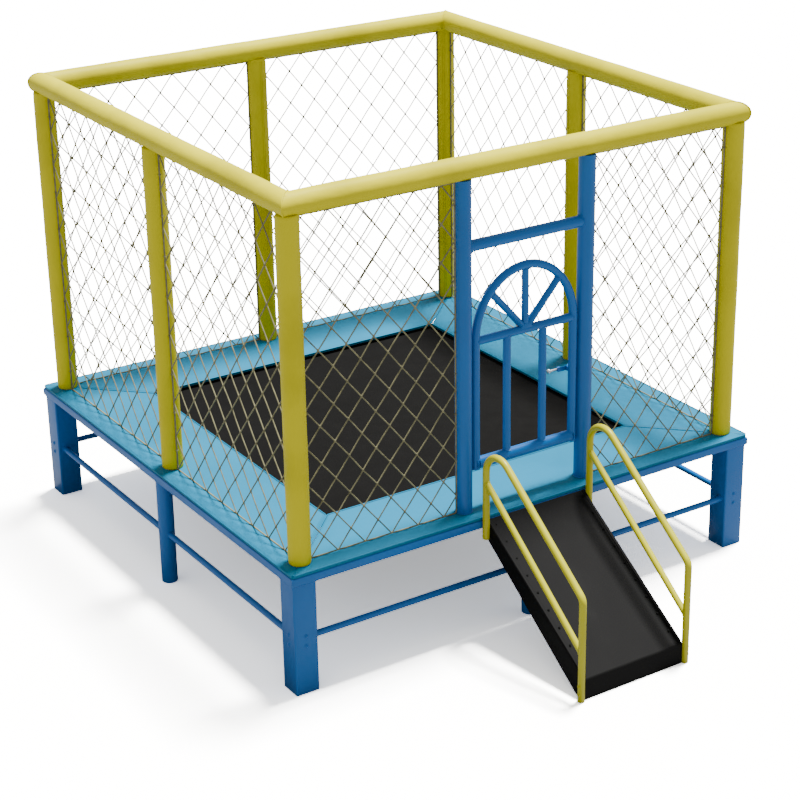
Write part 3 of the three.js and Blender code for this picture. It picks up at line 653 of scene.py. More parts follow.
def spring_tree():
    """A row of coil springs along X, each from y = 0 back to -Length, with a hook at each end."""
    tree = Tree("spring row", {"Count": int, "Pitch": float, "Length": float, "Turns": int,
                               "Coil Radius": float, "Wire Radius": float, "Hook": float})
    given = tree.given
    coil = tree.math("SUBTRACT", given["Coil Radius"], given["Wire Radius"])
    body = tree.math("SUBTRACT", given["Length"], tree.math("MULTIPLY", given["Hook"], 2.0))
    helix = tree.add("GeometryNodeCurveSpiral", {
        "Resolution": 11, "Rotations": given["Turns"], "Start Radius": coil, "End Radius": coil,
        "Height": body})["Curve"]
    helix = tree.add("GeometryNodeTransform", {"Geometry": helix, "Rotation": (math.pi / 2, 0.0, 0.0)})[0]
    helix = tree.add("GeometryNodeSetPosition", {
        "Geometry": helix, "Offset": tree.vector(y=tree.math("MULTIPLY", given["Hook"], -1.0))})[0]
    hooks = []
    for end in (0.0, 1.0):
        reach = tree.math("MULTIPLY", given["Hook"], 1.3)
        low = tree.math("MULTIPLY", given["Hook"], -1.3 if end else 0.0)
        low = tree.math("SUBTRACT", low, tree.math("MULTIPLY", given["Length"], end))
        low = tree.math("ADD", low, tree.math("MULTIPLY", reach, 1.0 if end else 0.0))
        start = tree.vector(y=low)
        far = tree.vector(y=tree.math("ADD", low, tree.math("MULTIPLY", reach, 1.0 if end else -1.0)))
        rise = tree.vector(y=tree.math("ADD", low, tree.math("MULTIPLY", reach, 0.5 if end else -0.5)),
                           z=tree.math("MULTIPLY", coil, 1.6))
        hook = tree.add("GeometryNodeCurvePrimitiveBezierSegment", {
            "Resolution": 8, "Start": start, "Start Handle": rise, "End Handle": rise, "End": far})[0]
        hooks.append(hook)
    wire = tree.tube(tree.join(helix, *hooks), given["Wire Radius"], 6)
    row = tree.add("GeometryNodeMeshLine", {
        "Count": given["Count"], "Offset": tree.vector(given["Pitch"])})[0]
    middle_x = tree.math("MULTIPLY", tree.math("MULTIPLY", given["Pitch"],
                                               tree.math("SUBTRACT", given["Count"], 1.0)), -0.5)
    row = tree.add("GeometryNodeSetPosition", {"Geometry": row, "Offset": tree.vector(middle_x)})[0]
    springs = tree.add("GeometryNodeInstanceOnPoints", {"Points": row, "Instance": wire})[0]
    return tree.end(springs, ZINC)


def stitch_tree(material):
    """Short stitches laid along the edges of a mesh of lines."""
    tree = Tree("stitches", {"Spacing": float, "Length": float, "Thickness": float})
    given = tree.given
    curve = tree.add("GeometryNodeMeshToCurve", {"Mesh": given["Geometry"]})[0]
    inputs = {"Curve": curve, "Length": given["Spacing"]}
    points = tree.add("GeometryNodeCurveToPoints", inputs, mode="LENGTH")
    line = tree.add("GeometryNodeCurvePrimitiveLine", {
        "Start": tree.vector(z=tree.math("MULTIPLY", given["Length"], -0.5)),
        "End": tree.vector(z=tree.math("MULTIPLY", given["Length"], 0.5))})["Curve"]
    thread = tree.tube(line, given["Thickness"], 5)
    stitches = tree.add("GeometryNodeInstanceOnPoints", {
        "Points": points["Points"], "Instance": thread, "Rotation": points["Rotation"]})[0]
    return tree.end(stitches, material)


def lines(name, paths, turn=0):
    """A mesh of bare lines for stitches to follow; each path is (points, whether it closes)."""
    points, edges = [], []
    for path, closed in paths:
        start = len(points)
        points += [tuple(p) for p in path]
        edges += [(start + i, start + i + 1) for i in range(len(path) - 1)]
        if closed:
            edges.append((start + len(path) - 1, start))
    mesh = bpy.data.meshes.new(name)
    mesh.from_pydata(points, edges, [])
    mesh.transform(place(turn))
    return mesh


def sew(name, tree, paths, turn=0, spacing=0.007, length=0.0045, thickness=0.0006):
    values = {"Spacing": spacing, "Length": length, "Thickness": thickness}
    return grow(name, tree, values, Matrix.Identity(4), lines(name, paths, turn))


# Deck frame and legs ----------------------------------------------------------------------------------

def corner_leg(side):
    node = f"corner_leg_{CORNERS[side]}"
    low, high = box("corner_leg_front_left")
    size = high.x - low.x
    centre = ((low.x + high.x) / 2, (low.y + high.y) / 2)
    outline = rounded(size, size, LEG_CORNER_R, 6)
    heights = (0, LEG_EASE, high.z)
    shaft = sweep([(*centre, z) for z in heights], outline, side=(1, 0, 0), scale=(0.985, 1, 1))
    top = [(centre[0] + x, centre[1] + y, high.z - 0.001) for x, y in outline]
    shapes = [shaft, bead(top, 0.004)]
    # Two round-headed bolts hold each lower rail's plate from the leg's outer faces.
    for dz in (-LEG_BOLT, LEG_BOLT):
        shapes.append(bolt_head((centre[0], low.y, RAIL_Z + dz), (0, -1, 0)))
        shapes.append(bolt_head((low.x, centre[1], RAIL_Z + dz), (-1, 0, 0)))
    fit(build(f"square leg {CORNERS[side]}", shapes, BLUE, TURNS[side]), "frame", "blue_paint", node)


def mid_leg(side):
    high = box("mid_leg_front")[1].z
    shaft = sweep([(0, RAIL_Y, z) for z in (0, LEG_EASE, high)], circle(MID_LEG_R), scale=(0.97, 1, 1))
    shapes = [shaft, bead(ring_loop((0, RAIL_Y, high - 0.001), (0, 0, 1), MID_LEG_R), 0.004)]
    for way in (-1, 1):
        shapes.append(weld((0, RAIL_Y, RAIL_Z), (way, 0, 0), (0, 0, 1), RAIL_R, MID_LEG_R))
    fit(build(f"middle leg {side}", shapes, BLUE, TURNS[side]), "frame", "blue_paint", f"mid_leg_{side}")


def lower_rail(side):
    low, high = box("lower_rail_front")
    ends = [(low.x, RAIL_Y, RAIL_Z), (high.x, RAIL_Y, RAIL_Z)]
    shapes = [bar(*ends, RAIL_R, SLIM)]
    shapes += [bead(ring_loop(end, (1, 0, 0), RAIL_R)) for end in ends]
    fit(build(f"round rail {side}", shapes, BLUE, TURNS[side]), "frame", "blue_paint", f"lower_rail_{side}")


def mitre_ends(points):
    """Moves the two end rings of a sweep along X onto the corner mitres."""
    half = len(points) // 2
    for ring, sign in ((slice(0, half), -1), (slice(half, None), 1)):
        points[ring, 0] = sign * (-points[ring, 1] - CLEAR)
    return points


def deck_beam(side):
    wide, high = DECK_HALF - BEAM_INNER, BEAM_TOP - BEAM_LOW
    line, z = (DECK_HALF + BEAM_INNER) / 2, (BEAM_TOP + BEAM_LOW) / 2
    outline = rounded(wide, high, 0.006, 4)
    points, faces = sweep([(-line, -line, z), (line, -line, z)], outline, side=(0, 1, 0))
    shapes = [(mitre_ends(points), faces)]
    # The mitre's weld, down the outer corner and in along the underside.
    corner = [(-DECK_HALF + 0.003, -DECK_HALF + 0.003, BEAM_TOP - 0.004),
              (-DECK_HALF + 0.0005, -DECK_HALF + 0.0005, BEAM_TOP - 0.012),
              (-DECK_HALF + 0.0005, -DECK_HALF + 0.0005, BEAM_LOW + 0.008),
              (-DECK_HALF + 0.008, -DECK_HALF + 0.008, BEAM_LOW),
              (-BEAM_INNER, -BEAM_INNER, BEAM_LOW)]
    shapes.append(sweep(corner, circle(0.0022, 8)))
    fit(build(f"mitred beam {side}", shapes, BLUE, TURNS[side]), "frame", "blue_paint", f"deck_beam_{side}")


# Pads -------------------------------------------------------------------------------------------------

def even_out(piece, voxel):
    remesh = piece.modifiers.new("Even", "REMESH")
    remesh.mode = "VOXEL"
    remesh.voxel_size = voxel
    settled(piece)


def swell(piece, voxel, cap, frames=20):
    """Fills a pad's skin as foam does, by a short pressure simulation, with no point moving past the cap."""
    even_out(piece, voxel)
    scene = bpy.context.scene
    start = np.empty(len(piece.data.vertices) * 3)
    piece.data.vertices.foreach_get("co", start)
    cloth = piece.modifiers.new("Cloth", "CLOTH")
    cloth.settings.use_pressure = True
    cloth.settings.uniform_pressure_force = 4
    cloth.settings.effector_weights.gravity = 0
    cloth.settings.quality = 4
    cloth.settings.tension_stiffness = 30
    cloth.settings.compression_stiffness = 30
    cloth.settings.bending_stiffness = 3
    cloth.collision_settings.use_collision = False
    cloth.point_cache.frame_start = 1
    cloth.point_cache.frame_end = frames
    for step in range(1, frames + 1):
        scene.frame_set(step)
    shown = piece.evaluated_get(bpy.context.evaluated_depsgraph_get())
    moved = np.empty_like(start)
    shown.data.vertices.foreach_get("co", moved)
    piece.modifiers.clear()
    scene.frame_set(1)
    start, moved = start.reshape(-1, 3), moved.reshape(-1, 3)
    travel = moved - start
    far = np.maximum(np.linalg.norm(travel, axis=1), 1e-9)
    start += travel * np.minimum(1, cap / far)[:, None]
    piece.data.vertices.foreach_set("co", start.ravel())
    piece.data.update()
    return piece


def pad_outline(inset):
    """The corners of a pad seen from above, drawn in by an inset."""
    diagonal = inset * (1 + math.sqrt(2))
    notch = inset * 0.414
    outer, inner = DECK_HALF - inset, PAD_INNER + inset
    return [(-DECK_HALF + diagonal, -outer), (DECK_HALF - diagonal, -outer),
            (PAD_INNER - notch, -inner), (-PAD_INNER + notch, -inner)]


def pad_holes(side):
    """Each post's place and radius where it stands through a pad."""
    middle_holes = [(-DOOR_X, DOOR_POST_R), (DOOR_X, DOOR_POST_R)] if side == "front" else [(0, CORE_R)]
    return [(-POST_LINE, CORE_R), (POST_LINE, CORE_R)] + middle_holes


def pad_mesh(side):
    """A pad in its place at the front: foam in a sewn skin, crowned between its edges."""
    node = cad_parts[f"pad_{side}"]
    mesh = node.data.copy()
    mesh.transform(place(TURNS[side]).inverted())
    piece = linked(f"pad shape {side}", mesh)
    shell = bmesh.new()
    shell.from_mesh(mesh)
    bmesh.ops.remove_doubles(shell, verts=shell.verts, dist=1e-5)
    shell.to_mesh(mesh)
    shell.free()
    swell(piece, 0.007, 0.005)
    points = np.empty(len(piece.data.vertices) * 3)
    piece.data.vertices.foreach_get("co", points)
    points = points.reshape(-1, 3)
    crown_pad(points, side)
    piece.data.vertices.foreach_set("co", points.ravel())
    piece.data.update()
    mesh = piece.data
    bpy.data.objects.remove(piece)
    return mesh


def crown_pad(points, side):
    """Raises a pad's top from its edges to its middle, with creases, and keeps it flat round the posts."""
    low, high = BEAM_TOP + CLEAR, DECK_TOP
    shoulder, rise, edge_drop, crease, flat = 0.10, 0.006, 0.004, 0.0012, 0.05
    x, y = points[:, 0], points[:, 1]
    edge = np.minimum(-PAD_INNER - y, y + DECK_HALF)
    edge = np.minimum(edge, (-y - np.abs(x)) / math.sqrt(2))
    share = np.clip(edge / shoulder, 0, 1)
    crown = rise * (1 - (1 - share) ** 2) - edge_drop
    top = points[:, 2] > (low + high) / 2
    points[top, 2] = np.minimum(points[top, 2], high) + crown[top]
    broad = np.array([noise.noise(Vector((px * 5, py * 9, 1.7))) for px, py in points[top, :2]])
    fine = np.array([noise.noise(Vector((px * 17, py * 21, 4.2))) for px, py in points[top, :2]])
    points[top, 2] += (broad + 0.5 * fine) * crease * share[top]
    # Flat again round the posts, whose sleeves stand on the pad.
    for hole, _ in pad_holes(side):
        away = np.hypot(x - hole, y + POST_LINE)
        near = top & (away < SLEEVE_R + flat)
        blend = np.clip((away - SLEEVE_R) / flat, 0, 1)
        points[near, 2] = high * (1 - blend[near]) + points[near, 2] * blend[near]
    points[:, 2] = np.maximum(points[:, 2], low)
    points[:, :2] = np.clip(points[:, :2], -DECK_HALF, DECK_HALF)


def pads():
    shapes = {"front": pad_mesh("front"), "back": pad_mesh("back")}
    thread = stitch_tree(BLUE_THREAD)
    corner_r, piping_r = 0.012, 0.0035
    for side, turn in TURNS.items():
        mesh = shapes["front" if side == "front" else "back"].copy()
        mesh.transform(place(turn))
        mesh.materials.clear()
        mesh.materials.append(CYAN_VINYL)
        mesh.shade_smooth()
        pad = linked(f"foam_pad_{side}", mesh)
        fit(pad, "frame", "cyan_pad", f"pad_{side}")
        edge = [(x, y, DECK_TOP - 0.0045) for x, y in pad_outline(piping_r)]
        piping = sweep(rounded_loop(edge, corner_r), circle(piping_r, 10), closed=True)
        fit(build(f"pad piping {side}", [piping], CYAN_VINYL, turn), "frame", "cyan_pad")
        seam = [(x, y, DECK_TOP - 0.0022) for x, y in pad_outline(0.016)]
        stitches = sew(f"pad stitches {side}", thread, [(rounded_loop(seam, corner_r), True)], turn)
        fit(stitches, "frame", "cyan_pad")


def rounded_loop(corners, radius, steps=4):
    """A closed loop through some corners, each one rounded."""
    corners = [np.asarray(c, float) for c in corners]
    path = []
    for i, corner in enumerate(corners):
        back, ahead = unit(corners[i - 1] - corner), unit(corners[(i + 1) % len(corners)] - corner)
        path += bend(corner + back * radius, corner, corner + ahead * radius, steps)
    return np.array(path)


# Jump mat and springs ---------------------------------------------------------------------------------

def mat_edge(inset):
    """The mat's outline, drawn in by an inset, with round corners."""
    radius = max(MAT_CORNER_R - inset, MAT_CORNER_R * (MAT_HALF - inset) / MAT_HALF * 0.5)
    return rounded(2 * (MAT_HALF - inset), 2 * (MAT_HALF - inset), radius, 8)


def jump_mat():
    low, high = box("jump_mat")
    web = 0.0012  # thickness of the webbing, and how far the weave lies below it
    border = [(inset, 0.0) for inset in (0.0, 0.002, 0.050)]
    field = [(inset, web) for inset in (0.052, 0.20, 0.45, 0.70, 0.90, 1.02)]
    rings = border + field
    rows = [(inset, high.z - drop) for inset, drop in rings[::-1]]
    rows += [(inset, low.z + drop) for inset, drop in rings]
    points = [(x, y, z) for inset, z in rows for x, y in mat_edge(inset)]
    faces = skin(len(rows), len(mat_edge(0)))
    mat = build("woven mat", [(points, faces)], MAT_WEAVE, sharp=60)
    fit(mat, "mat", "black_mat", "jump_mat")
    hem = []
    for z in (high.z + CLEAR, low.z - CLEAR):
        band = [np.array([(x, y, z) for x, y in mat_edge(inset)]) for inset in (0.001, 0.049)]
        hem.append(ribbon(*band, web))
    webbing = fit(build("mat webbing", hem, WEBBING), "mat", "black_mat")
    thread = stitch_tree(NET_CORD)
    rows = [([(x, y, high.z + 0.0017) for x, y in mat_edge(inset)], True) for inset in (0.006, 0.025, 0.044)]
    stitches = fit(sew("mat stitches", thread, rows, thickness=0.0005), "mat", "black_mat")
    steel_rings = []
    for turn in TURNS.values():
        matrix = np.array(Matrix.Rotation(math.radians(turn), 3, "Z"))
        for x in spring_places():
            points, faces = v_ring(x)
            steel_rings.append((points @ matrix.T, faces))
    fit(build("mat rings", steel_rings, ZINC), "mat", "steel")


def ribbon(outer, inner, thick):
    """A flat closed band between two loops."""
    up = np.array((0, 0, thick))
    points = np.concatenate([outer, inner, inner + up, outer + up])
    return points, skin(4, len(outer), closed=True)


def spring_places():
    span = 2 * (MAT_HALF - MAT_CORNER_R) - 4 * SPRING_R
    return [(i - (SPRINGS - 1) / 2) * span / (SPRINGS - 1) for i in range(SPRINGS)]


def v_ring(x):
    """A steel triangle in the mat's edge, that a spring hooks into."""
    half, sewn, out, wire, z = 0.018, -MAT_HALF + 0.010, -MAT_HALF - 0.012, 0.0018, MAT_TOP - 0.0025
    corners = [(x - half, sewn, z), (x + half, sewn, z), (x, out, z)]
    return sweep(rounded_loop(corners, 0.005, 3), circle(wire, 7), closed=True)


def springs():
    low, high = box("spring_row_front")
    tree = spring_tree()
    places = spring_places()
    strip_thick, stud_r, stud_long = 0.005, 0.003, 0.014
    stud_head = [(0.013, stud_r), (0.0132, 0.0055), (0.0155, 0.0055), (0.016, stud_r)]
    wall = -BEAM_INNER + CLEAR
    z = (low.z + high.z) / 2
    stud_z = z - 0.004
    end = -MAT_HALF - 0.009
    values = {"Count": SPRINGS, "Pitch": places[1] - places[0], "Length": end - (wall + 0.008), "Turns": 22,
              "Coil Radius": SPRING_R, "Wire Radius": 0.0016, "Hook": 0.020}
    for side, turn in TURNS.items():
        strip = block((low.x, wall, low.z), (high.x, wall + strip_thick, high.z), 0.001)
        studs = [bar((x, wall, stud_z), (x, wall + stud_long, stud_z), stud_r, 10) for x in places]
        studs += [turned(stud_head, (x, wall, stud_z), (0, 1, 0), 12) for x in places]
        fit(build(f"hook strip {side}", [strip] + studs, ZINC, turn), "frame", "steel")
        # The tree's springs run back along -Y from y = 0, so the mat's end comes first.
        row = grow(f"coil springs {side}", tree, values, place(turn) @ Matrix.Translation((0, end, z)))
        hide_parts(f"spring_row_{side}")
        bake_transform(row)


# Padded posts and ring --------------------------------------------------------------------------------

def sleeve(path, radius, seed, seam_side, hemmed=True):
    """Foam in a vinyl skin round a tube: soft dents, drawn in at its hems, with a lapped seam along it."""
    path = np.asarray(path, float)
    length = np.linalg.norm(path[-1] - path[0])
    steps = max(12, round(length / 0.03))
    at = np.linspace(0, 1, steps + 1)
    hem = np.array([0, 0.002, 0.006, 0.014, 0.022]) / length
    at = np.unique(np.round(np.concatenate([at, hem, 1 - hem]), 6))
    sides = 48
    axis = unit(path[-1] - path[0])
    first = unit(np.asarray(seam_side, float) - axis * np.dot(seam_side, axis))
    second = np.cross(axis, first)
    angles = np.arange(sides) * 2 * math.pi / sides
    points = np.empty((len(at), sides, 3))
    for i, t in enumerate(at):
        centre = path[0] * (1 - t) + path[-1] * t
        from_end = (min(t, 1 - t) if hemmed else 1) * length
        draw = 0.004 * math.exp(-from_end / 0.006) + 0.0012 * math.exp(-((from_end - 0.024) / 0.004) ** 2)
        for k, angle in enumerate(angles):
            around = math.cos(angle) * first + math.sin(angle) * second
            place_noise = Vector(tuple(centre * 3.2 + around * 0.9 + seed))
            dent = 0.0016 * noise.noise(place_noise) + 0.0006 * noise.noise(place_noise * 4)
            lap = 0.0014 * math.exp(-(((angle + math.pi) % (2 * math.pi) - math.pi) / 0.09) ** 2)
            points[i, k] = centre + around * (radius - 0.0015 - draw + dent + lap)
    return points.reshape(-1, 3), skin(len(at), sides)


def seam_track(start, end, inward, radius, inset):
    """Two lines for the stitches on both sides of a sleeve's seam, from one end to the other."""
    start, end = np.array(start, float), np.array(end, float)
    along = unit(end - start)
    out = inward * radius
    track = []
    for way in (-1, 1):
        across = np.cross(along, inward) * way * 0.006
        track.append(([start + out + across + along * inset, end + out + across - along * inset], False))
    return track


def post_sleeves():
    thread = stitch_tree(THREAD)
    tops = RING_Z - RING_R * 0.75
    for number, (side, turn) in enumerate(TURNS.items()):
        places = [(CORNERS[side], -POST_LINE)] + ([(side, 0.0)] if side != "front" else [])
        for label, x in places:
            base = (x, -POST_LINE, DECK_TOP + 0.0005)
            top = (x, -POST_LINE, tops)
            # The seam faces into the enclosure, where the nets are laced.
            seam = (1, 1, 0) if x else (0, 1, 0)
            shape = sleeve([base, top], SLEEVE_R, number * 7.3 + (x == 0) * 3.1, seam)
            post = build(f"padded post {label}", [shape], YELLOW_VINYL, turn, sharp=70)
            fit(post, "frame", "yellow_sleeve", f"post_sleeve_{label}")
            track = seam_track(base, top, unit(seam), SLEEVE_R - 0.0005, 0.02)
            stitches = sew(f"post stitches {label}", thread, track, turn, spacing=0.009, length=0.006)
            fit(stitches, "frame", "yellow_sleeve")


def enclosure_core():
    """The steel ring and posts inside the padding, with a weld round the foot of each post."""
    line = POST_LINE
    corners = [(-line, -line), (line, -line), (line, line), (-line, line)]
    loop = rounded_loop([(x, y, RING_Z) for x, y in corners], 0.050, 10)
    shapes = [sweep(loop, circle(CORE_R, SLIM), closed=True)]
    for x, y in corners + [(line, 0), (0, line), (-line, 0)]:
        shapes.append(bar((x, y, BEAM_TOP + CLEAR), (x, y, RING_Z), CORE_R - 0.0002, SLIM))
        shapes.append(bead(ring_loop((x, y, BEAM_TOP + 0.004), (0, 0, 1), CORE_R), 0.003))
    fit(build("steel core", shapes, ZINC), "frame", "steel", "enclosure_frame")


def ring_sleeves():
    thread = stitch_tree(THREAD)
    for number, (side, turn) in enumerate(TURNS.items()):
        reach = POST_LINE + RING_R
        ends = [(-reach, -POST_LINE, RING_Z), (reach, -POST_LINE, RING_Z)]
        points, faces = sleeve(ends, RING_R, 40 + number * 5.9, (0, 0.4, -1), hemmed=False)
        # Cut each ring of points back to the corner mitres.
        limit = -points[:, 1] - 0.0006
        points[:, 0] = np.clip(points[:, 0], -limit, limit)
        tube = build(f"padded ring {side}", [(points, faces)], YELLOW_VINYL, turn, sharp=70)
        fit(tube, "frame", "yellow_sleeve", f"ring_sleeve_{side}")
        # A sewn welt over the mitre, and the stitches on both sides of it.
        loop = [(-(POST_LINE + y), -(POST_LINE + y), RING_Z + z) for y, z in circle(RING_R - 0.0008, 56)]
        welt = sweep(loop, circle(0.0032, 8), closed=True)
        fit(build(f"ring welt {CORNERS[side]}", [welt], YELLOW_VINYL, turn), "frame", "yellow_sleeve")
        track = seam_track((-POST_LINE, -POST_LINE, RING_Z), (POST_LINE, -POST_LINE, RING_Z),
                           unit((0, 0.4, -1)), RING_R - 0.0006, 0.08)
        stitches = sew(f"ring stitches {side}", thread, track, turn, spacing=0.009, length=0.006)
        fit(stitches, "frame", "yellow_sleeve")


# Nets -------------------------------------------------------------------------------------------------

def nets():
    tree = net_tree()
    cell_wide, cell_high = 0.164, 0.197
    panels = [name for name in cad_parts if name.startswith("net_")]
    for node in panels:
        side = node.split("_")[1]
        low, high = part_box(node)
        turned_back = place(TURNS[side]).inverted()
        corners = [turned_back @ low, turned_back @ high]
        width = abs(corners[1].x - corners[0].x) + 0.002
        height = high.z - low.z
        centre = (corners[0] + corners[1]) / 2
        values = {"Width": width, "Height": height, "Columns": round(2 * width / cell_wide),
                  "Rows": round(2 * height / cell_high), "Cord Radius": 0.0036, "Knot Radius": 0.0064,
                  "Rope Radius": 0.0045, "Billow": 0.016}
        upright = Matrix.Translation(centre) @ Matrix.Rotation(math.pi / 2, 4, "X")
        net = grow(f"knotted {node}", tree, values, place(TURNS[side]) @ upright)
        fit(net, "frame", "net", node)


def net_ties():
    """Short loops of cord that hold each net's edge rope to the posts and the ring."""
    for side, turn in TURNS.items():
        low_z, high_z = DECK_TOP + 0.12, RING_Z - RING_R - 0.12
        heights = np.linspace(low_z, high_z, 8)
        edges = [(-POST_LINE, SLEEVE_R, 1), (POST_LINE, SLEEVE_R, -1)]
        if side == "front":
            edges += [(-DOOR_X, DOOR_POST_R, -1), (DOOR_X, DOOR_POST_R, 1)]
        else:
            edges += [(0, SLEEVE_R, 1), (0, SLEEVE_R, -1)]
        loops = []
        for x, radius, way in edges:
            for z in heights:
                tie = ring_loop((x + way * (radius + 0.001), -POST_LINE, z), (0.15, 0.1, 1), 0.0085, 14)
                loops.append(sweep(tie, circle(0.0016, 6), closed=True))
        fit(build(f"net ties {side}", loops, NET_CORD, turn), "frame", "net")


# Doorway and gate -------------------------------------------------------------------------------------

def hinge_brackets(x):
    """Brackets on the door post that the gate hangs from, each with an upright pin."""
    pin = [(0, PIN_R), (0.076, PIN_R), (0.0785, 0.0065), (0.0795, 0.003)]
    outline = hull_outline((HINGE_X, HINGE_Y), KNUCKLE_R, (x + 0.010, -POST_LINE + 0.030), 0.016)
    shapes = []
    for z in HINGE_HEIGHTS:
        low = z - KNUCKLE_HIGH / 2 - CLEAR - BRACKET_THICK
        shapes.append(sweep([(0, 0, low), (0, 0, low + BRACKET_THICK)], outline, side=(1, 0, 0)))
        shapes.append(turned(pin, (HINGE_X, HINGE_Y, low), UP, 24))
    return shapes


def keeper(x):
    """Four plates round the hole that the bolt slides into."""
    z = middle("latch_bolt").z
    near, far = x - 0.024, x - 0.010
    low, high = z - LATCH_HALF, z + LATCH_HALF
    shapes = [block((near, -POST_LINE + 0.036, low), (far, LATCH_Y - 0.0065, high), 0.002),
              block((near, LATCH_Y + 0.0070, low), (far, LATCH_Y + 0.0120, high), 0.002)]
    for spot in (z - 0.0095, z + 0.0095):
        low, high = spot - 0.0025, spot + 0.0025
        shapes.append(block((near, LATCH_Y - 0.0075, low), (far, LATCH_Y + 0.0080, high), 0.001))
    return shapes


def door_posts():
    y, base, top = -POST_LINE, BEAM_TOP + CLEAR, RING_Z - RING_R + 0.006
    rail_z = middle("door_crossbar").z
    rail_r = (box("door_crossbar")[1].z - box("door_crossbar")[0].z) / 2
    for label, x in (("left", -DOOR_X), ("right", DOOR_X)):
        inward = -1 if x > 0 else 1
        shapes = [bar((x, y, base), (x, y, top), DOOR_POST_R)]
        shapes.append(weld((x, y, rail_z), (inward, 0, 0), UP, rail_r, DOOR_POST_R, 0.004))
        shapes.append(bead(ring_loop((x, y, DECK_TOP + 0.003), UP, DOOR_POST_R + 0.001), 0.003))
        shapes += hinge_brackets(x) if label == "left" else keeper(x)
        fit(build(f"gate post {label}", shapes, BLUE), "frame", "blue_paint", f"door_post_{label}")
    end = DOOR_X - 0.01
    rail = bar((-end, y, rail_z), (end, y, rail_z), rail_r)
    fit(build("head rail", [rail], BLUE), "frame", "blue_paint", "door_crossbar")


def hull_outline(first, first_r, second, second_r, steps=10):
    """The outline round two circles."""
    first, second = np.array(first), np.array(second)
    away = math.atan2(*(second - first)[::-1])
    points = []
    ends = ((second, second_r, away - math.pi / 2), (first, first_r, away + math.pi / 2))
    for centre, radius, start in ends:
        for i in range(steps + 1):
            angle = start + math.pi * i / steps
            points.append(centre + radius * np.array((math.cos(angle), math.sin(angle))))
    return np.array(points)


def arch_point(angle):
    rise = ARCH_TOP - ARCH_SPRING
    return np.array((STILE_X * math.cos(angle), -POST_LINE, ARCH_SPRING + rise * math.sin(angle)))


def knuckles():
    """Bored barrels that turn on the hinge pins, each with a web to the stile."""
    ease, eased_r = 0.0012, 0.0130
    wall = [(0.0, PIN_BORE_R), (0.0, eased_r), (ease, KNUCKLE_R), (KNUCKLE_HIGH - ease, KNUCKLE_R),
            (KNUCKLE_HIGH, eased_r), (KNUCKLE_HIGH, PIN_BORE_R)]
    web = rounded(0.008, KNUCKLE_HIGH * 0.9, 0.002, 3)
    hinge, stile = np.array((HINGE_X, HINGE_Y, 0)), np.array((-STILE_X, -POST_LINE, 0))
    towards = unit(stile - hinge)
    start, end = hinge + towards * 0.0115, stile - towards * 0.020
    shapes = []
    for z in HINGE_HEIGHTS:
        shapes.append(tube_wall(wall, (HINGE_X, HINGE_Y, z - KNUCKLE_HIGH / 2)))
        shapes.append(sweep([start + (0, 0, z), end + (0, 0, z)], web, side=np.cross(towards, UP)))
    return shapes


def gate_tube():
    y, foot = -POST_LINE, box("gate_arch")[0].z
    route = [(-STILE_X, y, foot), (-STILE_X, y, foot + 0.01), (-STILE_X, y, ARCH_SPRING - 0.02)]
    route += [arch_point(math.pi * (1 - i / 48)) for i in range(49)]
    route += [(STILE_X, y, ARCH_SPRING - 0.02), (STILE_X, y, foot + 0.01), (STILE_X, y, foot)]
    shapes = [sweep(route, circle(GATE_TUBE_R), side=(0, 1, 0))] + knuckles()
    for x, way in ((-STILE_X, 1), (STILE_X, -1)):
        aim = (way, 0, 0)
        shapes.append(weld((x, y, GATE_BOTTOM), aim, UP, GATE_BOTTOM_R - 0.002, GATE_TUBE_R, 0.004))
        shapes.append(weld((x, y, ARCH_SPRING), aim, UP, GATE_TUBE_R - 0.001, GATE_TUBE_R, 0.003))
    fit(build("arched gate tube", shapes, BLUE), "gate", "blue_paint", "gate_arch")


def gate_rail(name, node, z, radius, way):
    """A level rail between the stiles, welded to each picket on its upper or lower side."""
    y, end = -POST_LINE, STILE_X - 0.012
    shapes = [bar((-end, y, z), (end, y, z), radius)]
    shapes += [weld((x, y, z), (0, 0, way), (1, 0, 0), PICKET_R, radius, 0.003) for x in picket_places()]
    fit(build(name, shapes, BLUE), "gate", "blue_paint", node)


def pickets():
    y, low, high = -POST_LINE, GATE_BOTTOM + 0.010, ARCH_SPRING - 0.010
    for label, x in zip(("left", "right"), picket_places()):
        shape = bar((x, y, low), (x, y, high), PICKET_R)
        fit(build(f"round picket {label}", [shape], BLUE), "gate", "blue_paint", f"gate_picket_{label}")


def fan_bars():
    """Three spokes from a round hub to the arch, and all that is below the rail's middle cut away."""
    hub = np.array((0, -POST_LINE, ARCH_SPRING))
    shapes = []
    for degrees in (45, 90, 135):
        tip = arch_point(math.radians(degrees))
        along = unit(tip - hub)
        shapes.append(bar(hub, tip - along * 0.010, SPOKE_R, SLIM))
        shapes.append(bead(ring_loop(tip - along * (GATE_TUBE_R - 0.001), along, SPOKE_R + 0.0005), 0.003))
    half = [(0.020, 0.034), (0.018, 0.038), (0.016, 0.040)]
    shapes.append(turned([(-out, radius) for out, radius in half] + half[::-1], hub, (0, 1, 0)))
    fan = build("fan bars", shapes, BLUE)
    cut_below(fan, ARCH_SPRING)
    fit(fan, "gate", "blue_paint", "gate_fan")


def gate():
    gate_tube()
    gate_rail("bottom gate rail", "gate_bottom_rail", GATE_BOTTOM, GATE_BOTTOM_R, 1)
    gate_rail("middle gate rail", "gate_middle_rail", ARCH_SPRING, GATE_TUBE_R, -1)
    pickets()
    fan_bars()


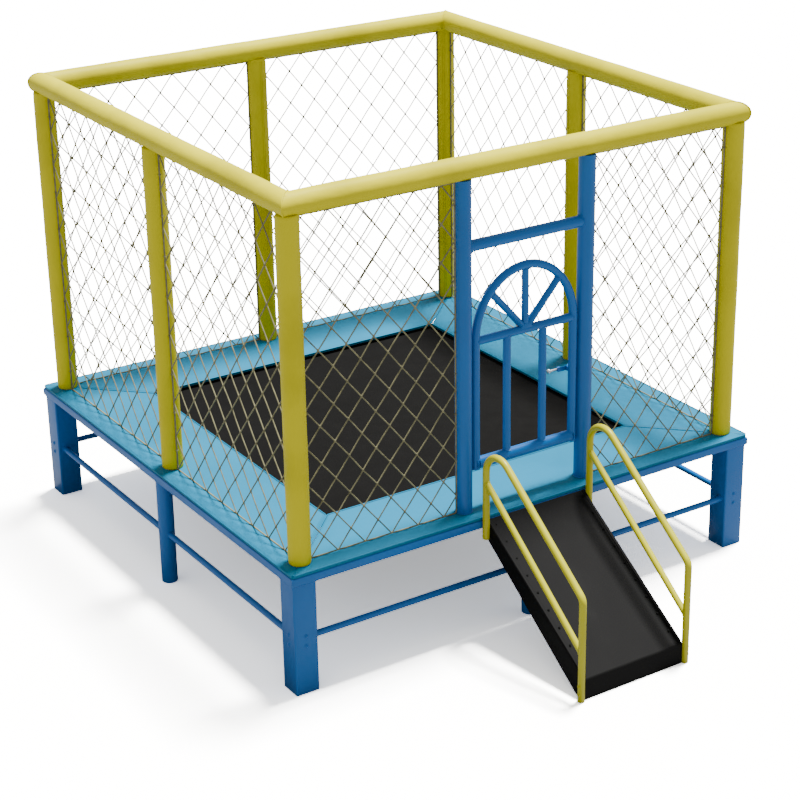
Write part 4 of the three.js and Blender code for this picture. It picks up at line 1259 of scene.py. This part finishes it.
def cut_below(piece, height):
    """Takes away all of a piece below a height."""
    shell = bmesh.new()
    shell.from_mesh(piece.data)
    everything = shell.verts[:] + shell.edges[:] + shell.faces[:]
    bmesh.ops.bisect_plane(shell, geom=everything, plane_co=(0, 0, height), plane_no=(0, 0, -1),
                           clear_outer=True)
    open_edges = [edge for edge in shell.edges if edge.is_boundary]
    bmesh.ops.holes_fill(shell, edges=open_edges, sides=0)
    bmesh.ops.recalc_face_normals(shell, faces=shell.faces)
    shell.to_mesh(piece.data)
    shell.free()


def tube_wall(profile, origin, steps=28):
    """A closed (height, radius) profile turned round an upright axis, so that it keeps its bore."""
    points = [(origin[0] + r * math.cos(a), origin[1] + r * math.sin(a), origin[2] + h)
              for a in np.arange(steps) * 2 * math.pi / steps for h, r in profile]
    return points, skin(steps, len(profile), closed=True)


def picket_places():
    return middle("gate_picket_left").x, middle("gate_picket_right").x


def latch():
    """Two guide rings round the bolt, on a screwed back plate that a neck joins to the stile."""
    low, high = box("latch_housing")
    z = middle("latch_housing").z
    bottom, top, plate = z - LATCH_HALF, z + LATCH_HALF, LATCH_Y - 0.0080
    guide = [(-0.009, 0.0068), (-0.009, 0.0112), (0.009, 0.0112), (0.009, 0.0068)]
    shapes = [tube_wall_x(guide, (x, LATCH_Y, z)) for x in (low.x + 0.010, high.x - 0.012)]
    shapes.append(block((low.x, LATCH_Y - 0.0120, bottom), (high.x, plate, top), 0.003))
    neck = (STILE_X - 0.012, STILE_X + 0.012)
    shapes.append(block((neck[0], -POST_LINE + 0.019, bottom), (neck[1], LATCH_Y - 0.009, top)))
    for x in (low.x + 0.034, low.x + 0.052):
        for away in (0.0075, -0.0075):
            shapes.append(bolt_head((x, plate, z + away), (0, 1, 0), 0.0022))
    fit(build("latch guides", shapes, BLUE), "gate", "blue_paint", "latch_housing")


def sliding_bolt():
    low, high = box("latch_bolt")
    z = middle("latch_housing").z
    long, eased_r = high.x - low.x, 0.0045
    rod = [(0, eased_r), (0.0015, BOLT_R), (long - 0.0085, BOLT_R), (long - 0.0065, eased_r)]
    grip = [(0, 0.008), (0.0015, 0.0115), (0.004, 0.0130), (0.008, 0.0130), (0.0105, 0.0115), (0.012, 0.008)]
    shaft = turned(rod, (low.x + 0.006, LATCH_Y, z), (1, 0, 0), 24)
    knob = turned(grip, (low.x, LATCH_Y, z), (1, 0, 0), 28)
    fit(build("sliding bolt", [shaft, knob], ZINC), "bolt", "steel", "latch_bolt")


def tube_wall_x(profile, origin, steps=28):
    """A closed (distance along X, radius) profile turned round an axis along X."""
    points, faces = tube_wall(profile, (0, 0, 0), steps)
    return [(origin[0] + z, origin[1] + x, origin[2] + y) for x, y, z in points], faces


# Ramp and handrails -----------------------------------------------------------------------------------

def ramp_board():
    """Two side boards, a deck board, a board across the toe, and two tabs under the deck beam."""
    low, high = box("ramp_frame")
    front, back, top, toe = low.y, RAMP_BACK, high.z, RAMP_TOE - RAMP_COVER
    wall, half = RAMP_WALL, RAMP_HALF
    bite = 0.001  # each board runs a little into its neighbours
    between = (-half + wall - bite, half - wall + bite)
    side = [(back, top), (front, toe), (front, 0), (front + RAMP_FOOT, 0), (back, top - RAMP_DEPTH)]
    shapes = [slab(side, x, x + wall) for x in (-half, half - wall)]
    board = [(back, top), (front, toe), (front, toe - wall), (back, top - wall)]
    shapes.append(slab(board, *between))
    under = toe - wall + bite
    shapes.append(slab([(front, under), (front, bite), (front + wall, bite), (front + wall, under)], *between))
    tab_top = BEAM_LOW - CLEAR
    for x in (-TAB_X, TAB_X):
        near, far = (x - TAB_HALF, back - 0.030, tab_top - 0.020), (x + TAB_HALF, high.y, tab_top)
        shapes.append(block(near, far))
    wood = build("ramp board", shapes, RAMP_BOARD)
    bevel = wood.modifiers.new("Edges", "BEVEL")
    bevel.width, bevel.segments, bevel.limit_method = 0.002, 2, "ANGLE"
    settled(wood)
    fit(wood, "frame", "ramp_board", "ramp_frame")


def ramp_rubber():
    """The rubber sheet, rolled over the nose of the toe, with a low lip down both edges."""
    nose = arc((0, RAMP_FRONT + 0.014, RAMP_TOE - 0.016), 0.0145, 180, 110, 6, ((0, 1, 0), UP))
    outer = [(RAMP_BACK, RAMP_TOP)] + [(p[1], p[2]) for p in nose[::-1]] + [(RAMP_FRONT, 0.0)]
    behind = RAMP_FRONT + RAMP_COVER * 0.9
    inner = [(behind, 0.0), (behind, RAMP_TOE - RAMP_COVER - 0.004),
             (RAMP_BACK, RAMP_TOP - RAMP_COVER * 0.95)]
    shapes = [slab(outer + inner, -RAMP_HALF, RAMP_HALF)]
    lip = rounded(0.018, 0.005, 0.0022, 3)
    for x in (-RAMP_HALF + 0.010, RAMP_HALF - 0.010):
        start = (x, RAMP_BACK - 0.004, RAMP_TOP - 0.004 * RAMP_SLOPE)
        end = (x, RAMP_FRONT + 0.012, RAMP_TOE + 0.012 * RAMP_SLOPE - 0.002)
        shapes.append(sweep([start, end], lip, side=(1, 0, 0)))
    fit(build("ramp rubber", shapes, RAMP_RUBBER), "frame", "ramp_rubber", "ramp_cover")


def ramp_screws():
    inset, first, pitch = 0.034, 0.04, 0.11
    down = unit((0, -1, -RAMP_SLOPE))
    out = np.cross(down, (1, 0, 0))
    length = math.hypot(RAMP_BACK - RAMP_FRONT, RAMP_TOP - RAMP_TOE)
    heads = []
    for x in (-RAMP_HALF + inset, RAMP_HALF - inset):
        for step in np.arange(first, length - 0.03, pitch):
            heads.append(bolt_head(np.array((x, RAMP_BACK, RAMP_TOP)) + down * step, out, 0.0042))
    fit(build("ramp screws", heads, RAMP_BOARD), "frame", "ramp_board")


def ramp():
    ramp_board()
    ramp_rubber()
    ramp_screws()


def slab(outline, low, high):
    """An outline in Y and Z carried across from one X to another."""
    points = [(x, y, z) for x in (low, high) for y, z in outline]
    return points, skin(2, len(outline))


def handrail_route(x):
    """Up from the ramp's head, over the hook, down along the ramp, round the knee and down to the ground."""
    leg_y, foot_y = HANDRAIL_HEAD_Y, HANDRAIL_FOOT_Y
    top = box("handrail_left")[1].z - HANDRAIL_R
    start_z = BEAM_LOW - 0.0525
    hook = np.array((x, leg_y - HOOK_R, top - HOOK_R))
    knee = np.array((x, foot_y, KNEE_Z))
    to_knee = knee - hook
    far = math.hypot(to_knee[1], to_knee[2])
    leave = math.atan2(to_knee[2], to_knee[1]) - math.acos(HOOK_R / far) + 2 * math.pi
    tangent = hook + HOOK_R * np.array((0, math.cos(leave), math.sin(leave)))
    plane = ((0, 1, 0), (0, 0, 1))
    route = [np.array((x, leg_y, start_z)), np.array((x, leg_y, start_z + 0.02))]
    route += arc(hook, HOOK_R, 0, math.degrees(leave), 26, plane)
    fall = unit(knee - tangent)
    turn = math.acos(np.dot(fall, (0, 0, -1)))
    trim = KNEE_R * math.tan(turn / 2)
    route += bend(knee - fall * trim, knee, knee - np.array((0, 0, trim)), 12)
    route += [np.array((x, foot_y, 0.002)), np.array((x, foot_y, 0.0))]
    return route


def handrails():
    for label in ("left", "right"):
        x = middle(f"handrail_{label}").x
        route = handrail_route(x)
        scale = np.ones(len(route))
        scale[-1] = 0.93
        shapes = [sweep(route, circle(HANDRAIL_R, 36), side=(1, 0, 0), scale=scale)]
        leg_y, foot_y = HANDRAIL_HEAD_Y, HANDRAIL_FOOT_Y
        head, foot = np.array((x, leg_y, MID_RAIL[0])), np.array((x, foot_y, MID_RAIL[1]))
        along = unit(foot - head)
        shapes.append(bar(head + along * 0.006, foot - along * 0.006, MID_RAIL_R, 36))
        for end, way in ((head, 1), (foot, -1)):
            shapes.append(bead(slanted_saddle(end, along * way, MID_RAIL_R, HANDRAIL_R), 0.003))
        inward = -1 if x > 0 else 1
        for spot in ((leg_y, BEAM_LOW - 0.035), (foot_y, 0.045), (foot_y, 0.090)):
            outside = (x - inward * (HANDRAIL_R - 0.0012), *spot)
            shapes.append(bolt_head(outside, (-inward, 0, 0), 0.0065))
        rail = build(f"bent handrail {label}", shapes, HANDRAIL_YELLOW)
        fit(rail, "frame", "yellow_paint", f"handrail_{label}")


def slanted_saddle(origin, along, tube_r, main_r, steps=32):
    """The loop where a slanting tube, in the plane of constant X, meets an upright one."""
    side = np.array((1.0, 0, 0))
    up = unit(np.cross(side, along))
    loop = []
    for i in range(steps):
        angle = 2 * math.pi * i / steps
        spoke = side * tube_r * math.cos(angle) + up * tube_r * math.sin(angle)
        # How far along the tube this line of its surface meets the upright one.
        flat = along[1]
        reach = math.sqrt(max(main_r ** 2 - spoke[0] ** 2, 0))
        distance = (math.copysign(reach, flat) - spoke[1]) / flat
        loop.append(np.asarray(origin, float) + spoke + along * distance)
    return loop


# Stage ------------------------------------------------------------------------------------------------

FLOOR_GLOW = 0.25
FLOOR_WHITE = 3.6


def stage():
    mesh = bpy.data.meshes.new("floor")
    reach = 60.0
    mesh.from_pydata([(-reach, -reach, 0), (reach, -reach, 0), (reach, reach, 0), (-reach, reach, 0)], [],
                     [(0, 1, 2, 3)])
    paint = Paint("pale floor", 0.9, specular=0.0)
    tone = paint.ramp(paint.noise(0.6, 2), [(0.3, (0.98, 0.98, 0.98)), (0.7, (1.0, 1.0, 1.0))])
    white = paint.add("ShaderNodeVectorMath", {0: tone, 1: (FLOOR_WHITE,) * 3}, operation="MULTIPLY")
    lit = paint.add("ShaderNodeBsdfDiffuse", {"Color": white.outputs["Vector"]})
    glow = paint.add("ShaderNodeEmission", {"Color": (1, 1, 1, 1), "Strength": FLOOR_GLOW})
    bright = paint.add("ShaderNodeAddShader", {0: lit.outputs[0], 1: glow.outputs[0]})
    # Seen directly the floor is white, and what it throws back on the object is kept low.
    matt = paint.add("ShaderNodeBsdfDiffuse", {"Color": (0.26, 0.26, 0.26, 1)})
    seen = paint.add("ShaderNodeLightPath").outputs["Is Camera Ray"]
    mixed = paint.add("ShaderNodeMixShader", {0: seen, 1: matt.outputs[0], 2: bright.outputs[0]})
    paint.links.new(mixed.outputs[0], paint.nodes["Material Output"].inputs["Surface"])
    mesh.materials.append(paint.material)
    linked("floor", mesh)


def lights():
    """A bright studio: a white surround, and a high key from the right that throws shadows to the left."""
    world = bpy.data.worlds.new("studio")
    world.use_nodes = True
    background = world.node_tree.nodes["Background"]
    background.inputs["Color"].default_value = (1.0, 1.0, 1.0, 1)
    background.inputs["Strength"].default_value = 0.65
    bpy.context.scene.world = world
    lamp = bpy.data.lights.new("key sun", "SUN")
    lamp.energy = 13.0
    lamp.angle = math.radians(9)
    lamp.color = (1.0, 0.985, 0.95)
    sun = linked("key sun", lamp)
    sun.rotation_euler = Vector((-0.24, -0.06, -1.0)).to_track_quat("-Z", "Y").to_euler()


def camera():
    """Above and to the left of the front, with a long lens."""
    lens = bpy.data.cameras.new("camera")
    lens.lens, lens.sensor_width = 91.35, 36
    lens.shift_x, lens.shift_y = -0.0625, -0.05
    lens.clip_end = 200
    view = linked("camera", lens)
    turn, down, roll = math.radians(-34.11), math.radians(22.10), math.radians(-0.42)
    ahead = Vector((-math.sin(turn) * math.cos(down), math.cos(turn) * math.cos(down), -math.sin(down)))
    right = ahead.cross(Vector((0, 0, 1))).normalized()
    up = right.cross(ahead)
    right, up = (math.cos(roll) * right + math.sin(roll) * up, math.cos(roll) * up - math.sin(roll) * right)
    matrix = Matrix((right, up, -ahead)).transposed().to_4x4()
    matrix.translation = (-5.83, -9.30 + MIDDLE_Y, 5.45)
    view.matrix_world = matrix
    bpy.context.scene.camera = view


# The making -------------------------------------------------------------------------------------------

camera()
for side in TURNS:
    corner_leg(side)
    mid_leg(side)
    lower_rail(side)
    deck_beam(side)
pads()
jump_mat()
springs()
enclosure_core()
post_sleeves()
ring_sleeves()
nets()
net_ties()
door_posts()
gate()
latch()
sliding_bolt()
ramp()
handrails()
stage()
lights()
